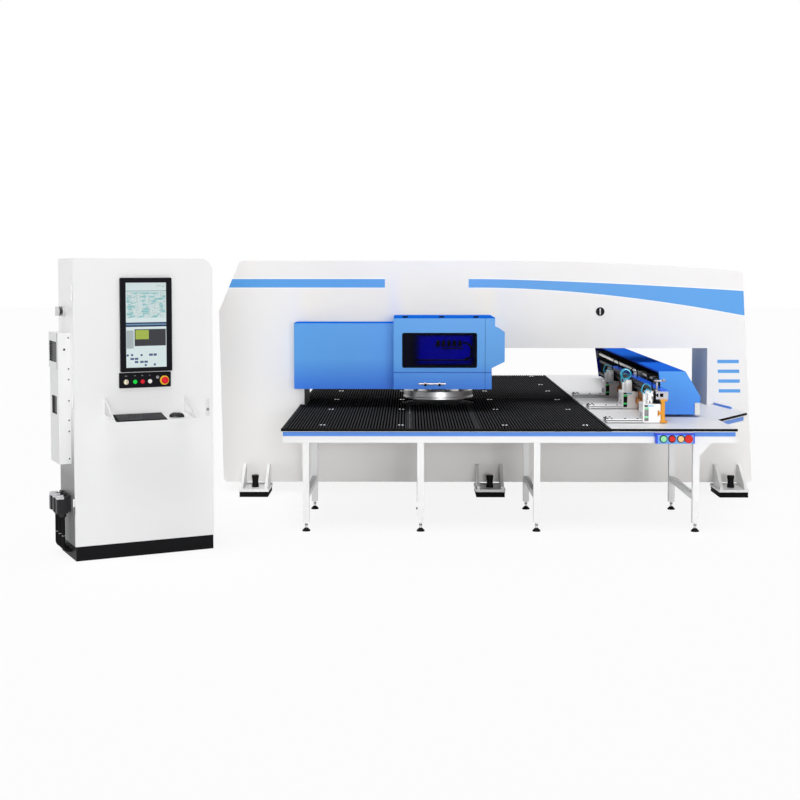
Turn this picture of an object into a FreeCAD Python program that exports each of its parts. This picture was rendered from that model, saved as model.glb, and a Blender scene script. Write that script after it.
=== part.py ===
import FreeCAD, Part
import math
import os

# CNC turret punch press with its free-standing control cabinet.
# Millimetres, +Z up, the floor is z = 0. While it is modelled, X runs along the
# O-shaped frame, Y through its window from the operator's side to the back, and
# x = 0, y = 0 is a point on the frame's middle plane. Every piece is moved at the
# end, so that the origin lies under the middle of the whole machine's box.
Vector = FreeCAD.Vector

# ---- driving dimensions ----------------------------------------------------
# working height, which the sheet slides on
TABLE_TOP = 880.0
# O-frame weldment
FRAME_HALF = 368.0          # half its thickness, front face to back face
WINDOW_LEFT = -1055.0
WINDOW_RIGHT = 2965.0
WINDOW_BOTTOM = TABLE_TOP - 170.0
WINDOW_TOP = TABLE_TOP + 565.0
WINDOW_RADIUS = 12.0
FRAME_BOTTOM = 100.0
FRAME_TOP = WINDOW_TOP + 868.0
FRAME_LEFT_FOOT = -1867.0   # x of the lower left corner
FRAME_LEFT_KNEE = (-1904.0, FRAME_TOP - 501.0)
FRAME_LEFT_SHOULDER = -1695.0
FRAME_CROWN_START = 800.0   # the top is flat up to here, then falls in an arc
FRAME_RIGHT_TOP = (3306.0, FRAME_TOP - 105.0)
FRAME_RIGHT_FOOT = 3422.0
FRAME_ROUND = 40.0
# feet under the frame
FOOT_XS = (-1530.0, 790.0, 3168.0)
FOOT_REACH = 330.0          # how far a foot stands out from the frame's face
FOOT_UNDER = 80.0           # and how far its plate runs under the frame
FOOT_WIDTH = 290.0
PAD_HEIGHT = 52.0
FOOT_PLATE = 25.0
GUSSET_GAP = 237.0          # middle to middle
GUSSET_THICK = 28.0
GUSSET_TOP = 282.0
GUSSET_SETBACK = 15.0       # from the foot's front edge
GUSSET_TOE = 28.0
GUSSET_SHOULDER = 60.0
JACK_BOLT_RADIUS = 30.0
JACK_NUT_RADIUS = 35.5
JACK_BOLT_HEIGHT = 120.0
JACK_SETBACK = 150.0        # from the foot's front edge
# hood over the turret
HOOD_LEFT = -1128.0
HOOD_SPLIT = -154.0
HOOD_SIDE_DEPTH = 350.0
HOOD_SIDE_BOTTOM = TABLE_TOP + 186.0
HOOD_BOTTOM = TABLE_TOP + 220.0
HOOD_TOP = HOOD_BOTTOM + 675.0
HOOD_SIDE_TOP = HOOD_TOP - 66.0
HOOD_TURRET_DEPTH = 750.0
HOOD_RIGHT = 803.0
HOOD_BULGE = 894.0
HOOD_WALL = 5.0
# bends of the bulged right flank
HOOD_FLANK_ZS = (HOOD_TOP - 87.0, HOOD_TOP - 135.0, HOOD_BOTTOM + 260.0, HOOD_BOTTOM + 200.0)
HOOD_FLANK_X = 772.0
DOOR_RIGHT = 708.0
DOOR_DEPTH = 20.0
DOOR_GAP = 3.0
DOOR_SEAM_Z = HOOD_BOTTOM + 159.0
DOOR_WINDOW = (-68.0, 628.0, HOOD_BOTTOM + 208.0, HOOD_TOP - 148.0)
DOOR_WINDOW_RADIUS = 14.0
PANE_THICK = 6.0
PANE_LAP = 12.0
HANDLE_X = (84.0, 339.0)
HANDLE_Z = HOOD_BOTTOM + 53.0
HANDLE_RADIUS = 9.0
HANDLE_STANDOFF = 38.0
HINGE_XS = (-43.0, 299.0, 623.0)
HINGE_RADIUS = 8.0
HINGE_PIN_RADIUS = 4.0
HINGE_FIXED_LENGTH = 24.0
HINGE_LEAF_LENGTH = 24.0
HINGE_GAP = 0.4
# turret
TURRET_X = 290.0
TURRET_RADIUS = 350.0
TURRET_THICK = 80.0
TURRET_LIP = 6.0
TURRET_LIP_HEIGHT = 14.0
UPPER_TURRET_BOTTOM = TABLE_TOP + 45.0
LOWER_TURRET_TOP = TABLE_TOP - 14.0
SPINDLE_RADIUS = 60.0
SPINDLE_FIT = 0.09          # radial running clearance
COLLAR_RADIUS = 84.0
COLLAR_THICK = 24.0
BEARING_RADIUS = 150.0
BEARING_FLANGE = 190.0
BEARING_FLANGE_THICK = 25.0
BEARING_GAP = 1.0
UPPER_BEARING_BOTTOM = UPPER_TURRET_BOTTOM + 145.0
CAVITY_RADIUS = 95.0
STATIONS = 10
STATION_PITCH_RADIUS = 285.0
STATION_BORE = 29.0
PUNCH_HEAD_RADIUS = STATION_BORE - 5.0
PUNCH_HEAD_HEIGHT = 30.0
PUNCH_SHOULDER = 10.0
PUNCH_RECESS = 6.0
DIE_RADIUS = STATION_BORE - 0.1
DIE_HEIGHT = 12.0
DIE_BORE = 13.0
RAM_RADIUS = 45.0
RAM_FIT = 0.09
RAM_STROKE = 30.0
RAM_REST_GAP = 32.0         # over the punch heads, with the ram up
RAM_LENGTH = 300.0
RAM_GUIDE_WIDTH = 170.0
RAM_GUIDE_BOTTOM = UPPER_TURRET_BOTTOM + 205.0
# sheet table
PLATE_HEIGHT = 20.0
TABLE_LEFT = WINDOW_LEFT - 40.0
TABLE_FRONT = -2430.0
TABLE_REAR = 3300.0
BRUSH_SEAMS = (0.0, 580.0)
BRUSH_RIGHT = 1715.0
TABLE_RIGHT = 2776.0
WING_RIGHT = WINDOW_RIGHT + 190.0
WING_START_Y = 1740.0       # the wing's slanted edge, both sides of the frame
WING_END_Y = 1190.0
PLATE_GAP = 2.0
SLOT_INNER = FRAME_HALF - 33.0   # the beam's brackets pass through the gap between
SLOT_OUTER = FRAME_HALF + 4.0    # these two distances from the middle plane
MIDDLE_LEFT = WINDOW_LEFT + 10.0
MIDDLE_RIGHT = WINDOW_RIGHT - 15.0
TURRET_HOLE_RADIUS = TURRET_RADIUS + 8.0
SHEET_WALL = 4.0
RAIL_SIZE = 50.0
RAIL_INSET = 15.0
APRON_HEIGHT = 48.0
LEG_XS = (TABLE_LEFT + 210.0, 92.0, 1081.0, 2432.0)
LEG_SIZE = 55.0
TURRET_BAY = (TURRET_X - 325.0, TURRET_X + 322.0)   # free of frames, for the turret
POST_XS_LEFT = (LEG_XS[0], TURRET_BAY[0] - 165.0)
POST_XS_RIGHT = (TURRET_BAY[1] + 88.0, LEG_XS[2], 2000.0, MIDDLE_RIGHT - 50.0)
POST_Y = 200.0
LEG_YS = (TABLE_FRONT + 45.0, -1330.0, 1330.0, TABLE_REAR - 60.0)
LEG_FOOT_HEIGHT = 75.0
BRACE_Z = 290.0
FOOT_SCREW_RADIUS = 11.0
FOOT_CONE_RADIUS = 35.0
FOOT_CONE_HEIGHT = 28.0
EDGE_STRIP_HEIGHT = 36.0
EDGE_STRIP_THICK = 3.0
BOLT_XS = (-774.0, -94.0, 810.0, 1510.0)
BOLT_YS = (TABLE_FRONT + 300.0, -840.0, 120.0, 1080.0, 1900.0, TABLE_REAR - 190.0)
BOLT_RADIUS = 13.0
BOLT_HEAD = 3.0
GUSSET_BRACKET = 110.0
# operator's button box on the table's front edge
STATION_X = (2078.0, 2404.0)
STATION_Z = (TABLE_TOP - 116.0, TABLE_TOP - 30.0)
STATION_DEPTH = 70.0
STATION_BUTTON_XS = (2139.0, 2211.0, 2285.0)
STATION_STOP_X = 2350.0
STATION_BUTTON_Z = STATION_Z[0] + 42.0
STATION_BUTTON_RADIUS = 25.0
STATION_STOP_RADIUS = 34.0
BUTTON_PROUD = 12.0
BUTTON_FIT = 0.3
STOP_STEM = 11.0
STOP_PROUD = 26.0
STOP_CAP = 14.0
STOP_BEVEL = 5.0
# cross beam, its slides and the clamp carriage
BEAM_FRONT = -1500.0
BEAM_REAR = 2800.0
BEAM_BOTTOM = TABLE_TOP + 25.0
BEAM_TOP = BEAM_BOTTOM + 395.0
BEAM_LEFT = 2273.0
BEAM_LEFT_BOTTOM = 2325.0
BEAM_TOP_RIGHT = 2519.0
BEAM_SHOULDER = (2659.0, BEAM_BOTTOM + 160.0)
BEAM_RIGHT_BOTTOM = 2652.0
BEAM_WALL_X = 2345.0        # back of the lower recess, where the rails lie
BEAM_CAVITY_X = 2450.0      # back of the upper recess, where the screw turns
BEAM_CAVITY_Z = BEAM_BOTTOM + 235.0
BEAM_ROOF = 15.0
BEAM_END_PLATE = 20.0
BEAM_RAIL_ZS = (BEAM_BOTTOM + 195.0, BEAM_BOTTOM + 45.0)
BEAM_RAIL_HEIGHT = 20.0
BEAM_RAIL_WIDTH = 28.0
BLOCK_LENGTH = 90.0
BLOCK_WIDTH = 64.0
SLIDE_GAP = 0.4
CROSS_RAIL_Y = FRAME_HALF - 28.0   # the beam runs on two rails on the frame's lower arm
CROSS_RAIL_WIDTH = 34.0
CROSS_RAIL_HEIGHT = 30.0
CROSS_RAIL_X = (1250.0, 2790.0)
SADDLE_X = (2315.0, 2645.0)
SADDLE_WEB = (SLOT_INNER + 5.0, SLOT_INNER + 25.0)
SADDLE_WIDTH = 60.0
SADDLE_TOP = WINDOW_BOTTOM + 75.0
BUFFER_X = (BEAM_RIGHT_BOTTOM - 47.0, BEAM_RIGHT_BOTTOM - 2.0)
BUFFER_HEIGHT = 107.0
BUFFER_THICK = 16.0
SCREW_X = 2330.0
SCREW_Z = BEAM_BOTTOM + 280.0
SCREW_RADIUS = 18.0
SCREW_FIT = 0.09
SCREW_END_RADIUS = SCREW_RADIUS - 4.0
SCREW_FRONT_BEARING = -800.0
SCREW_REAR_BEARING = 2700.0
SCREW_BEARING_THICK = 50.0
MOTOR_SIZE = 90.0
MOTOR_Y = (-1450.0, -1130.0)
NUT_RADIUS = 34.0
NUT_Y = (-400.0, -310.0)
CARRIAGE_Y = (-2000.0, 950.0)
CARRIAGE_WEB = (2208.0, 2240.0)
CARRIAGE_BOTTOM = TABLE_TOP + 6.0
CARRIAGE_TOP = CARRIAGE_BOTTOM + 206.0
CARRIAGE_FOOT = (2198.0, 2262.0)
CARRIAGE_FLANGE = 15.0
DOVETAIL_NECK = 24.0
DOVETAIL_HEAD = 60.0
DOVETAIL_DEPTH = 30.0
DOVETAIL_Z = CARRIAGE_BOTTOM + 84.0
DOVETAIL_FIT = 0.4
EXTRUSION_X = (2162.0, 2270.0)
EXTRUSION_TOP = CARRIAGE_TOP + 70.0
EXTRUSION_SLOT = 30.0
EXTRUSION_CORE_X = (2196.0, 2226.0)
EXTRUSION_SLOT_DEPTH = 22.0
STRIP_X = (2200.0, 2274.0)
STRIP_THICK = 6.0
CARRIAGE_BLOCK_YS = (-1250.0, -450.0, 280.0)
CLAMP_YS = (-1875.0, -700.0, 480.0)
CLAMP_X = (2050.0, 2204.0)
CLAMP_HALF = 115.0
CLAMP_TOP = CARRIAGE_BOTTOM + 164.0
JAW_TIP_X = 1730.0
JAW_THICK = 10.0
JAW_GAP = 8.0
JAW_HALF = 85.0
JAW_PIVOT = (2104.0, CARRIAGE_BOTTOM + 52.0)
JAW_PIN_RADIUS = 8.0
JAW_PIN_FIT = 0.09
JAW_BOSS_RADIUS = 18.0
POCKET_X = 2160.0
POCKET_TOP = CARRIAGE_BOTTOM + 84.0
CYLINDER_X = (2084.0, 2154.0)
CYLINDER_HALF = 45.0
CYLINDER_TOP = CLAMP_TOP + 106.0
PORT_RADIUS = 9.0
HOSE_RADIUS = 6.0
HOSE_GAP = 0.3              # to the carriage's web and upper flange
HOSE_Y = (-1960.0, 560.0)
# control cabinet, modelled square to its own front left corner, then turned
CABINET_PLACE = (-2567.0, -3588.0)
CABINET_TURN = 27.0
CABINET_WIDTH = 1106.0
CABINET_DEPTH = 470.0
CABINET_HEIGHT = 2320.0
PLINTH_HEIGHT = 110.0
PLINTH_INSET = 4.0
PLINTH_RIM = 60.0
CABINET_WALL = 4.0
CABINET_ROUND = 100.0
CABINET_DOOR_THICK = 26.0
CABINET_DOOR_SKIN = 4.0
CABINET_DOOR_GAP = 0.5
CABINET_HINGE_RADIUS = 7.0
CABINET_HINGE_PIN = 3.5
CABINET_HINGE_LENGTH = 60.0
CABINET_HINGE_ZS = (420.0, 1240.0, 2060.0)
SCREEN_U = (357.0, 765.0)
SCREEN_Z = (1443.0, 2171.0)
SCREEN_GLASS = (397.0, 724.0, 1472.0, 2137.0)
SCREEN_PROUD = 24.0
PANEL_U = (347.0, 756.0)
PANEL_Z = (1318.0, 1436.0)
PANEL_PROUD = 14.0
PANEL_SEAT_DEPTH = 12.0
SEAT_GAP = 0.02             # between the door and what is screwed flat on it
PANEL_STEM_DEPTH = 6.0
PANEL_KNOB_U = 398.0
PANEL_BUTTON_US = (468.0, 527.0, 586.0)
PANEL_BUTTON_Z = 1366.0
PANEL_BUTTON_RADIUS = 16.0
PANEL_KEY = (648.0, 1396.0)
PANEL_STOP = (704.0, 1370.0)
PANEL_STOP_RADIUS = 27.0
KNOB_RADIUS = 20.0
KNOB_LENGTH = 20.0
KEY_RADIUS = 12.0
# keyboard tray, a folded sheet that falls a little towards the operator
TRAY_U = (232.0, 869.0)
TRAY_DEPTH = 325.0
TRAY_FRONT_Z = 1077.0       # underside, at the front
TRAY_RISE = 28.0
TRAY_SHEET = 3.0
TRAY_LIP = 17.0
TRAY_FLANGE = 25.0
TRAY_CHEEK = 145.0          # height of the cheeks at the door
TRAY_CHEEK_HEAD = 20.0
TRAY_CHEEK_RIM = 20.0
KEYBOARD_SIZE = (378.0, 170.0)
KEYBOARD_HEIGHTS = (14.0, 34.0)   # front and back edge
KEYBOARD_U = 262.0
KEYBOARD_SETBACK = 25.0
MOUSE_SIZE = (118.0, 64.0, 34.0)
MOUSE_ROUND = 26.0
MOUSE_AT = (755.0, 165.0)   # along the door, and out from it
MOUSE_TURN = -14.0
# cooling unit on the left wall
COOLER_V = (88.0, 380.0)
COOLER_Z = (740.0, 1750.0)
COOLER_PROUD = 92.0
COOLER_HEAD_PROUD = 100.0
COOLER_HEAD_Z = COOLER_Z[1] - 274.0
COOLER_GRILLE_Z = (COOLER_Z[1] - 225.0, COOLER_Z[1] - 68.0)
COOLER_GRILLE_MARGIN = 24.0
COOLER_RECESS = 14.0
COOLER_SLATS = 8
COOLER_SLAT_THICK = 3.0
COOLER_VENT_Z = (1120.0, 1260.0)
COOLER_DRAIN = (-46.0, 1622.0)   # small round hole in its front side
COOLER_DRAIN_RADIUS = 9.0
ISOLATOR_V = 262.0
ISOLATOR_Z = 1912.0
ISOLATOR_RADIUS = 40.0
ISOLATOR_BASE = 22.0
ISOLATOR_NECK = (20.0, 34.0)     # radius, and where it meets the knob
ISOLATOR_KNOB = (36.0, 70.0)     # radius, and how far out it ends
ISOLATOR_GRIP = 20.0
PLUG_VS = (160.0, 270.0, 380.0)
PLUG_Z = (320.0, 490.0)
PLUG_PROUD = 105.0
PLUG_WIDTH = 66.0
PLUG_FLANGE = 22.0
PLUG_NECK = 30.0
LEVER_RADIUS = 14.0
LEVER_LENGTH = 58.0
CABLE_RADIUS = 14.0


# ---- general shapes ---------------------------------------------------------
def box(x, y, z):
    """Box between the pairs of limits x, y and z."""
    return Part.makeBox(x[1] - x[0], y[1] - y[0], z[1] - z[0], Vector(x[0], y[0], z[0]))


def rod(start, direction, radius, length):
    """Cylinder from a start point along a direction."""
    return Part.makeCylinder(radius, length, Vector(*start), Vector(*direction))


def outline_xz(points, y0, y1):
    """Straight-sided outline in the XZ plane, carried from y0 to y1."""
    ring = [Vector(x, y0, z) for x, z in points]
    face = Part.Face(Part.makePolygon(ring + ring[:1]))
    return face.extrude(Vector(0, y1 - y0, 0))


def outline_xy(points, z0, z1):
    """Straight-sided outline in the XY plane, carried from z0 to z1."""
    ring = [Vector(x, y, z0) for x, y in points]
    face = Part.Face(Part.makePolygon(ring + ring[:1]))
    return face.extrude(Vector(0, 0, z1 - z0))


def inset_xy(points, inset, z0, z1):
    """The same outline, drawn in by an even inset."""
    ring = [Vector(x, y, z0) for x, y in points]
    face = Part.Face(Part.makePolygon(ring + ring[:1]))
    return face.makeOffset2D(-inset, 2).extrude(Vector(0, 0, z1 - z0))


def outline_yz(points, x0, x1):
    """Straight-sided outline in the YZ plane, carried from x0 to x1."""
    ring = [Vector(x0, y, z) for y, z in points]
    face = Part.Face(Part.makePolygon(ring + ring[:1]))
    return face.extrude(Vector(x1 - x0, 0, 0))


def turned(points, centre):
    """Radius and height pairs turned about the vertical axis through centre."""
    ring = [Vector(r, 0, z) for r, z in points]
    face = Part.Face(Part.makePolygon(ring + ring[:1]))
    solid = face.revolve(Vector(0, 0, 0), Vector(0, 0, 1), 360)
    return solid.translated(Vector(centre[0], centre[1], 0))


def ring_points(centre, radius, sides):
    """Corners of a regular outline round a centre."""
    step = 2 * math.pi / sides
    return [(centre[0] + radius * math.cos(i * step), centre[1] + radius * math.sin(i * step))
            for i in range(sides)]


def hexagon(centre, z, radius, height):
    """Upright hexagonal prism, such as a bolt's head."""
    return outline_xy(ring_points(centre, radius, 6), z, z + height)


def flats(points, centre, sides):
    """Radius and height pairs joined by flat faces, for small pieces that repeat."""
    rings = [[Vector(x, y, z) for x, y in ring_points(centre, radius, sides)] for radius, z in points]
    faces = [Part.Face(Part.makePolygon(ring + ring[:1])) for ring in (rings[0], rings[-1])]
    for low, high in zip(rings, rings[1:]):
        for i in range(sides):
            k = (i + 1) % sides
            faces.append(Part.Face(Part.makePolygon([low[i], low[k], high[k], high[i], low[i]])))
    return Part.Solid(Part.makeShell(faces))


def join(shapes):
    """One solid from shapes that overlap or share faces."""
    whole = shapes[0]
    if len(shapes) > 1:
        whole = whole.multiFuse(shapes[1:])
    return whole.removeSplitter()


def group(shapes):
    """Separate solids that share one node."""
    return Part.makeCompound(shapes)


def round_edges(shape, radius, wanted):
    """Fillet the edges whose middle point passes the test."""
    edges = [e for e in shape.Edges if wanted(e.CenterOfMass, e)]
    return shape.makeFillet(radius, edges)


def upright(edge):
    """True for an edge that runs along Z."""
    first, last = edge.Vertexes[0].Point, edge.Vertexes[-1].Point
    return abs(first.x - last.x) < 0.01 and abs(first.y - last.y) < 0.01


def through(edge):
    """True for an edge that runs along Y."""
    first, last = edge.Vertexes[0].Point, edge.Vertexes[-1].Point
    return abs(first.x - last.x) < 0.01 and abs(first.z - last.z) < 0.01


# ---- frame and its feet -----------------------------------------------------
def press_frame():
    """Welded O-frame: outer profile with an arched crown, less its window."""
    y0 = -FRAME_HALF
    run = FRAME_RIGHT_TOP[0] - FRAME_CROWN_START
    drop = FRAME_TOP - FRAME_RIGHT_TOP[1]
    crown_radius = (run ** 2 + drop ** 2) / (2 * drop)
    mid_x = FRAME_CROWN_START + run / 2
    mid_z = FRAME_TOP - crown_radius + math.sqrt(crown_radius ** 2 - (run / 2) ** 2)
    corners = [(FRAME_RIGHT_TOP[0], FRAME_RIGHT_TOP[1]), (FRAME_RIGHT_FOOT, FRAME_BOTTOM),
               (FRAME_LEFT_FOOT, FRAME_BOTTOM), FRAME_LEFT_KNEE,
               (FRAME_LEFT_SHOULDER, FRAME_TOP), (FRAME_CROWN_START, FRAME_TOP)]
    ring = [Vector(x, y0, z) for x, z in corners]
    edges = [Part.LineSegment(a, b).toShape() for a, b in zip(ring, ring[1:])]
    crown = Part.Arc(ring[-1], Vector(mid_x, y0, mid_z), ring[0]).toShape()
    face = Part.Face(Part.Wire(edges + [crown]))
    body = face.extrude(Vector(0, 2 * FRAME_HALF, 0))
    ends = (FRAME_LEFT_SHOULDER + 1, FRAME_RIGHT_TOP[0] - 1)
    body = round_edges(body, FRAME_ROUND, lambda c, e: through(e) and not ends[0] < c.x < ends[1])
    window = box((WINDOW_LEFT, WINDOW_RIGHT), (y0 - 1, FRAME_HALF + 1), (WINDOW_BOTTOM, WINDOW_TOP))
    window = round_edges(window, WINDOW_RADIUS, lambda c, e: through(e))
    return body.cut(window)


def foot_spots():
    """Middle x, face y and outward sign of each of the six feet."""
    return [(x, side * FRAME_HALF, side) for side in (-1, 1) for x in FOOT_XS]


def span(a, b):
    """Ordered pair of limits."""
    return (min(a, b), max(a, b))


def frame_foot(x, face_y, side):
    """Base plate with two gussets, welded to the frame's face."""
    plate = box((x - FOOT_WIDTH / 2, x + FOOT_WIDTH / 2),
                span(face_y - side * FOOT_UNDER, face_y + side * FOOT_REACH),
                (PAD_HEIGHT, PAD_HEIGHT + FOOT_PLATE))
    plate_top = PAD_HEIGHT + FOOT_PLATE
    gussets = []
    for shift in (-GUSSET_GAP / 2, GUSSET_GAP / 2):
        left = x + shift - GUSSET_THICK / 2
        toe_y = face_y + side * (FOOT_REACH - GUSSET_SETBACK)
        gussets.append(outline_yz([(face_y, plate_top), (toe_y, plate_top), (toe_y, plate_top + GUSSET_TOE),
                                   (face_y + side * GUSSET_SHOULDER, GUSSET_TOP), (face_y, GUSSET_TOP)],
                                  left, left + GUSSET_THICK))
    return join([plate] + gussets)


def foot_pad(x, face_y, side):
    """Rubber-faced levelling block that the foot stands on."""
    return box((x - FOOT_WIDTH / 2 + 5, x + FOOT_WIDTH / 2 - 5),
               span(face_y - side * (FOOT_UNDER - 10), face_y + side * (FOOT_REACH - 4)), (0, PAD_HEIGHT))


def jack_bolt(x, face_y, side):
    """Waisted levelling bolt on the foot's plate."""
    z0 = PAD_HEIGHT + FOOT_PLATE
    z1 = z0 + JACK_BOLT_HEIGHT
    profile = [(JACK_NUT_RADIUS, z0), (JACK_BOLT_RADIUS, z0 + JACK_BOLT_HEIGHT / 2), (JACK_NUT_RADIUS, z1)]
    return flats(profile, (x, face_y + side * (FOOT_REACH - JACK_SETBACK)), 18)


# ---- hood and its door ------------------------------------------------------
def hood_side_cover():
    """Folded cover left of the turret: five walls, open to the frame."""
    front = -FRAME_HALF - HOOD_SIDE_DEPTH
    outer = box((HOOD_LEFT, HOOD_SPLIT), (front, -FRAME_HALF), (HOOD_SIDE_BOTTOM, HOOD_SIDE_TOP))
    outer = round_edges(outer, 12, lambda c, e: upright(e) and c.y < front + 1 and c.x < HOOD_LEFT + 1)
    inner = box((HOOD_LEFT + HOOD_WALL, HOOD_SPLIT - HOOD_WALL), (front + HOOD_WALL, -FRAME_HALF + 1),
                (HOOD_SIDE_BOTTOM + HOOD_WALL, HOOD_SIDE_TOP - HOOD_WALL))
    return outer.cut(inner)


def hood_profile(wall):
    """Front outline of the turret cover, drawn in by a wall, with its bulged right flank."""
    w = wall
    low = HOOD_BOTTOM - (1 if w else 0)
    z0, z1, z2, z3 = HOOD_FLANK_ZS
    return [(HOOD_SPLIT + w, low), (HOOD_SPLIT + w, HOOD_TOP - w), (HOOD_RIGHT - w, HOOD_TOP - w),
            (HOOD_RIGHT - w, z0 - w / 2), (HOOD_BULGE - w, z1 - w / 2), (HOOD_BULGE - w, z2 + w / 2),
            (HOOD_FLANK_X - w, z3 + w / 2), (HOOD_FLANK_X - w, low)]


def hood_turret_cover():
    """Cover over the turret, open below, with a door-sized opening in front."""
    front = -FRAME_HALF - HOOD_TURRET_DEPTH
    outer = outline_xz(hood_profile(0), front, -FRAME_HALF)
    inner = outline_xz(hood_profile(HOOD_WALL), front + HOOD_WALL, -FRAME_HALF + 1)
    ahead = box((HOOD_SPLIT - 1, DOOR_RIGHT + DOOR_GAP), (front - 1, front + DOOR_DEPTH + DOOR_GAP / 3),
                (HOOD_BOTTOM - 1, HOOD_TOP + 1))
    shell = outer.cut(inner).cut(ahead)
    jamb = box((DOOR_RIGHT + DOOR_GAP, DOOR_RIGHT + DOOR_GAP + HOOD_WALL),
               (front, front + 60), (HOOD_BOTTOM, HOOD_TOP - HOOD_WALL))
    return join([shell, jamb] + hood_hinges())


def door_limits():
    """X and Z limits of the hood door."""
    return (HOOD_SPLIT, DOOR_RIGHT), (HOOD_BOTTOM, HOOD_TOP - DOOR_GAP)


def hinge_axis():
    """Y and Z of the hood door's hinge line."""
    return -FRAME_HALF - HOOD_TURRET_DEPTH + DOOR_DEPTH / 2, HOOD_TOP + HINGE_RADIUS


def hood_door():
    """Tray-shaped door with the viewing cut-out, bar handle and hinge halves."""
    xs, zs = door_limits()
    front = -FRAME_HALF - HOOD_TURRET_DEPTH
    outer = box(xs, (front, front + DOOR_DEPTH), zs)
    inner = box((xs[0] + 3, xs[1] - 3), (front + 3, front + DOOR_DEPTH + 1), (zs[0] + 3, zs[1] - 3))
    x0, x1, z0, z1 = DOOR_WINDOW
    opening = box((x0, x1), (front - 1, front + DOOR_DEPTH), (z0, z1))
    opening = round_edges(opening, DOOR_WINDOW_RADIUS, lambda c, e: through(e))
    tray = outer.cut(inner).cut(opening)
    rib = box((xs[0] + 3, xs[1] - 3), (front + 3, front + DOOR_DEPTH), (DOOR_SEAM_Z - 2, DOOR_SEAM_Z + 2))
    bar_y = front - HANDLE_STANDOFF
    bar = rod((HANDLE_X[0], bar_y, HANDLE_Z), (1, 0, 0), HANDLE_RADIUS, HANDLE_X[1] - HANDLE_X[0])
    posts = [rod((x, bar_y, HANDLE_Z), (0, 1, 0), HANDLE_RADIUS - 2, HANDLE_STANDOFF + 1)
             for x in (HANDLE_X[0] + 60, HANDLE_X[1] - 60)]
    hinge_y, hinge_z = hinge_axis()
    leaves = []
    for x in HINGE_XS:
        start = x + HINGE_GAP
        knuckle = rod((start, hinge_y, hinge_z), (1, 0, 0), HINGE_RADIUS, HINGE_LEAF_LENGTH)
        web = box((start, start + HINGE_LEAF_LENGTH), (hinge_y - 6, hinge_y + 6), (zs[1] - 1, hinge_z))
        bore = rod((start - 1, hinge_y, hinge_z), (1, 0, 0), HINGE_PIN_RADIUS + SPINDLE_FIT,
                   HINGE_LEAF_LENGTH + 2)
        leaves.append(join([knuckle, web]).cut(bore))
    return join([tray, rib, bar] + posts + leaves)


def hood_window():
    """Tinted pane behind the door's cut-out."""
    x0, x1, z0, z1 = DOOR_WINDOW
    front = -FRAME_HALF - HOOD_TURRET_DEPTH + 3
    return box((x0 - PANE_LAP, x1 + PANE_LAP), (front, front + PANE_THICK), (z0 - PANE_LAP, z1 + PANE_LAP))


def hood_hinges():
    """Fixed halves of the three hinges, each with its pin, on the cover's roof."""
    hinge_y, hinge_z = hinge_axis()
    roof_front = -FRAME_HALF - HOOD_TURRET_DEPTH + DOOR_DEPTH + DOOR_GAP / 3
    pieces = []
    for x in HINGE_XS:
        knuckle = rod((x - HINGE_FIXED_LENGTH, hinge_y, hinge_z), (1, 0, 0), HINGE_RADIUS, HINGE_FIXED_LENGTH)
        leaf = box((x - HINGE_FIXED_LENGTH, x), (hinge_y, roof_front + 30), (HOOD_TOP, HOOD_TOP + 4))
        pin = rod((x - 1, hinge_y, hinge_z), (1, 0, 0), HINGE_PIN_RADIUS, HINGE_LEAF_LENGTH + 1)
        pieces += [knuckle, leaf, pin]
    return pieces


# ---- turret and ram ---------------------------------------------------------
def station_spots():
    """Middle of each tool station on the pitch circle."""
    step = 2 * math.pi / STATIONS
    return [(TURRET_X + STATION_PITCH_RADIUS * math.cos(i * step), STATION_PITCH_RADIUS * math.sin(i * step))
            for i in range(STATIONS)]


def turret_holes(z0, z1):
    """Cylinders that bore every station."""
    return [rod((x, y, z0), (0, 0, 1), STATION_BORE, z1 - z0) for x, y in station_spots()]


def collar_z():
    """Underside of the upper spindle's collar, just over its bearing's floor."""
    return UPPER_BEARING_BOTTOM + 180


def upper_turret():
    """Upper tool carousel: lipped disc, hub and spindle with a hanging collar."""
    b = UPPER_TURRET_BOTTOM
    top = b + TURRET_THICK
    lip = TURRET_RADIUS + TURRET_LIP
    low = collar_z() + SPINDLE_FIT
    profile = [(0, b), (lip, b), (lip, b + TURRET_LIP_HEIGHT), (TURRET_RADIUS, b + TURRET_LIP_HEIGHT + 6),
               (TURRET_RADIUS, top - 6), (TURRET_RADIUS - 6, top), (170, top), (120, top + 25),
               (120, UPPER_BEARING_BOTTOM - BEARING_GAP), (SPINDLE_RADIUS, UPPER_BEARING_BOTTOM - BEARING_GAP),
               (SPINDLE_RADIUS, low), (COLLAR_RADIUS, low), (COLLAR_RADIUS, low + COLLAR_THICK),
               (0, low + COLLAR_THICK)]
    return turned(profile, (TURRET_X, 0)).cut(group(turret_holes(b - 1, top + 1)))


def lower_turret():
    """Lower die carousel with its spindle going down into the frame's bearing."""
    top = LOWER_TURRET_TOP
    b = top - TURRET_THICK
    lip = TURRET_RADIUS
    profile = [(0, WINDOW_BOTTOM + 20), (SPINDLE_RADIUS, WINDOW_BOTTOM + 20), (SPINDLE_RADIUS, b), (lip - 6, b),
               (lip, b + 6), (lip, top - 4), (lip - 4, top), (0, top)]
    return turned(profile, (TURRET_X, 0)).cut(group(turret_holes(top - DIE_HEIGHT, top + 1)))


def punch(x, y):
    """Guide barrel with a tapered shoulder and a striking head."""
    b = UPPER_TURRET_BOTTOM + PUNCH_RECESS
    top = UPPER_TURRET_BOTTOM + TURRET_THICK
    profile = [(0, b), (STATION_BORE, b), (STATION_BORE, top), (PUNCH_HEAD_RADIUS, top + PUNCH_SHOULDER),
               (PUNCH_HEAD_RADIUS, top + PUNCH_HEAD_HEIGHT), (0, top + PUNCH_HEAD_HEIGHT)]
    return turned(profile, (x, y))


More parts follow.
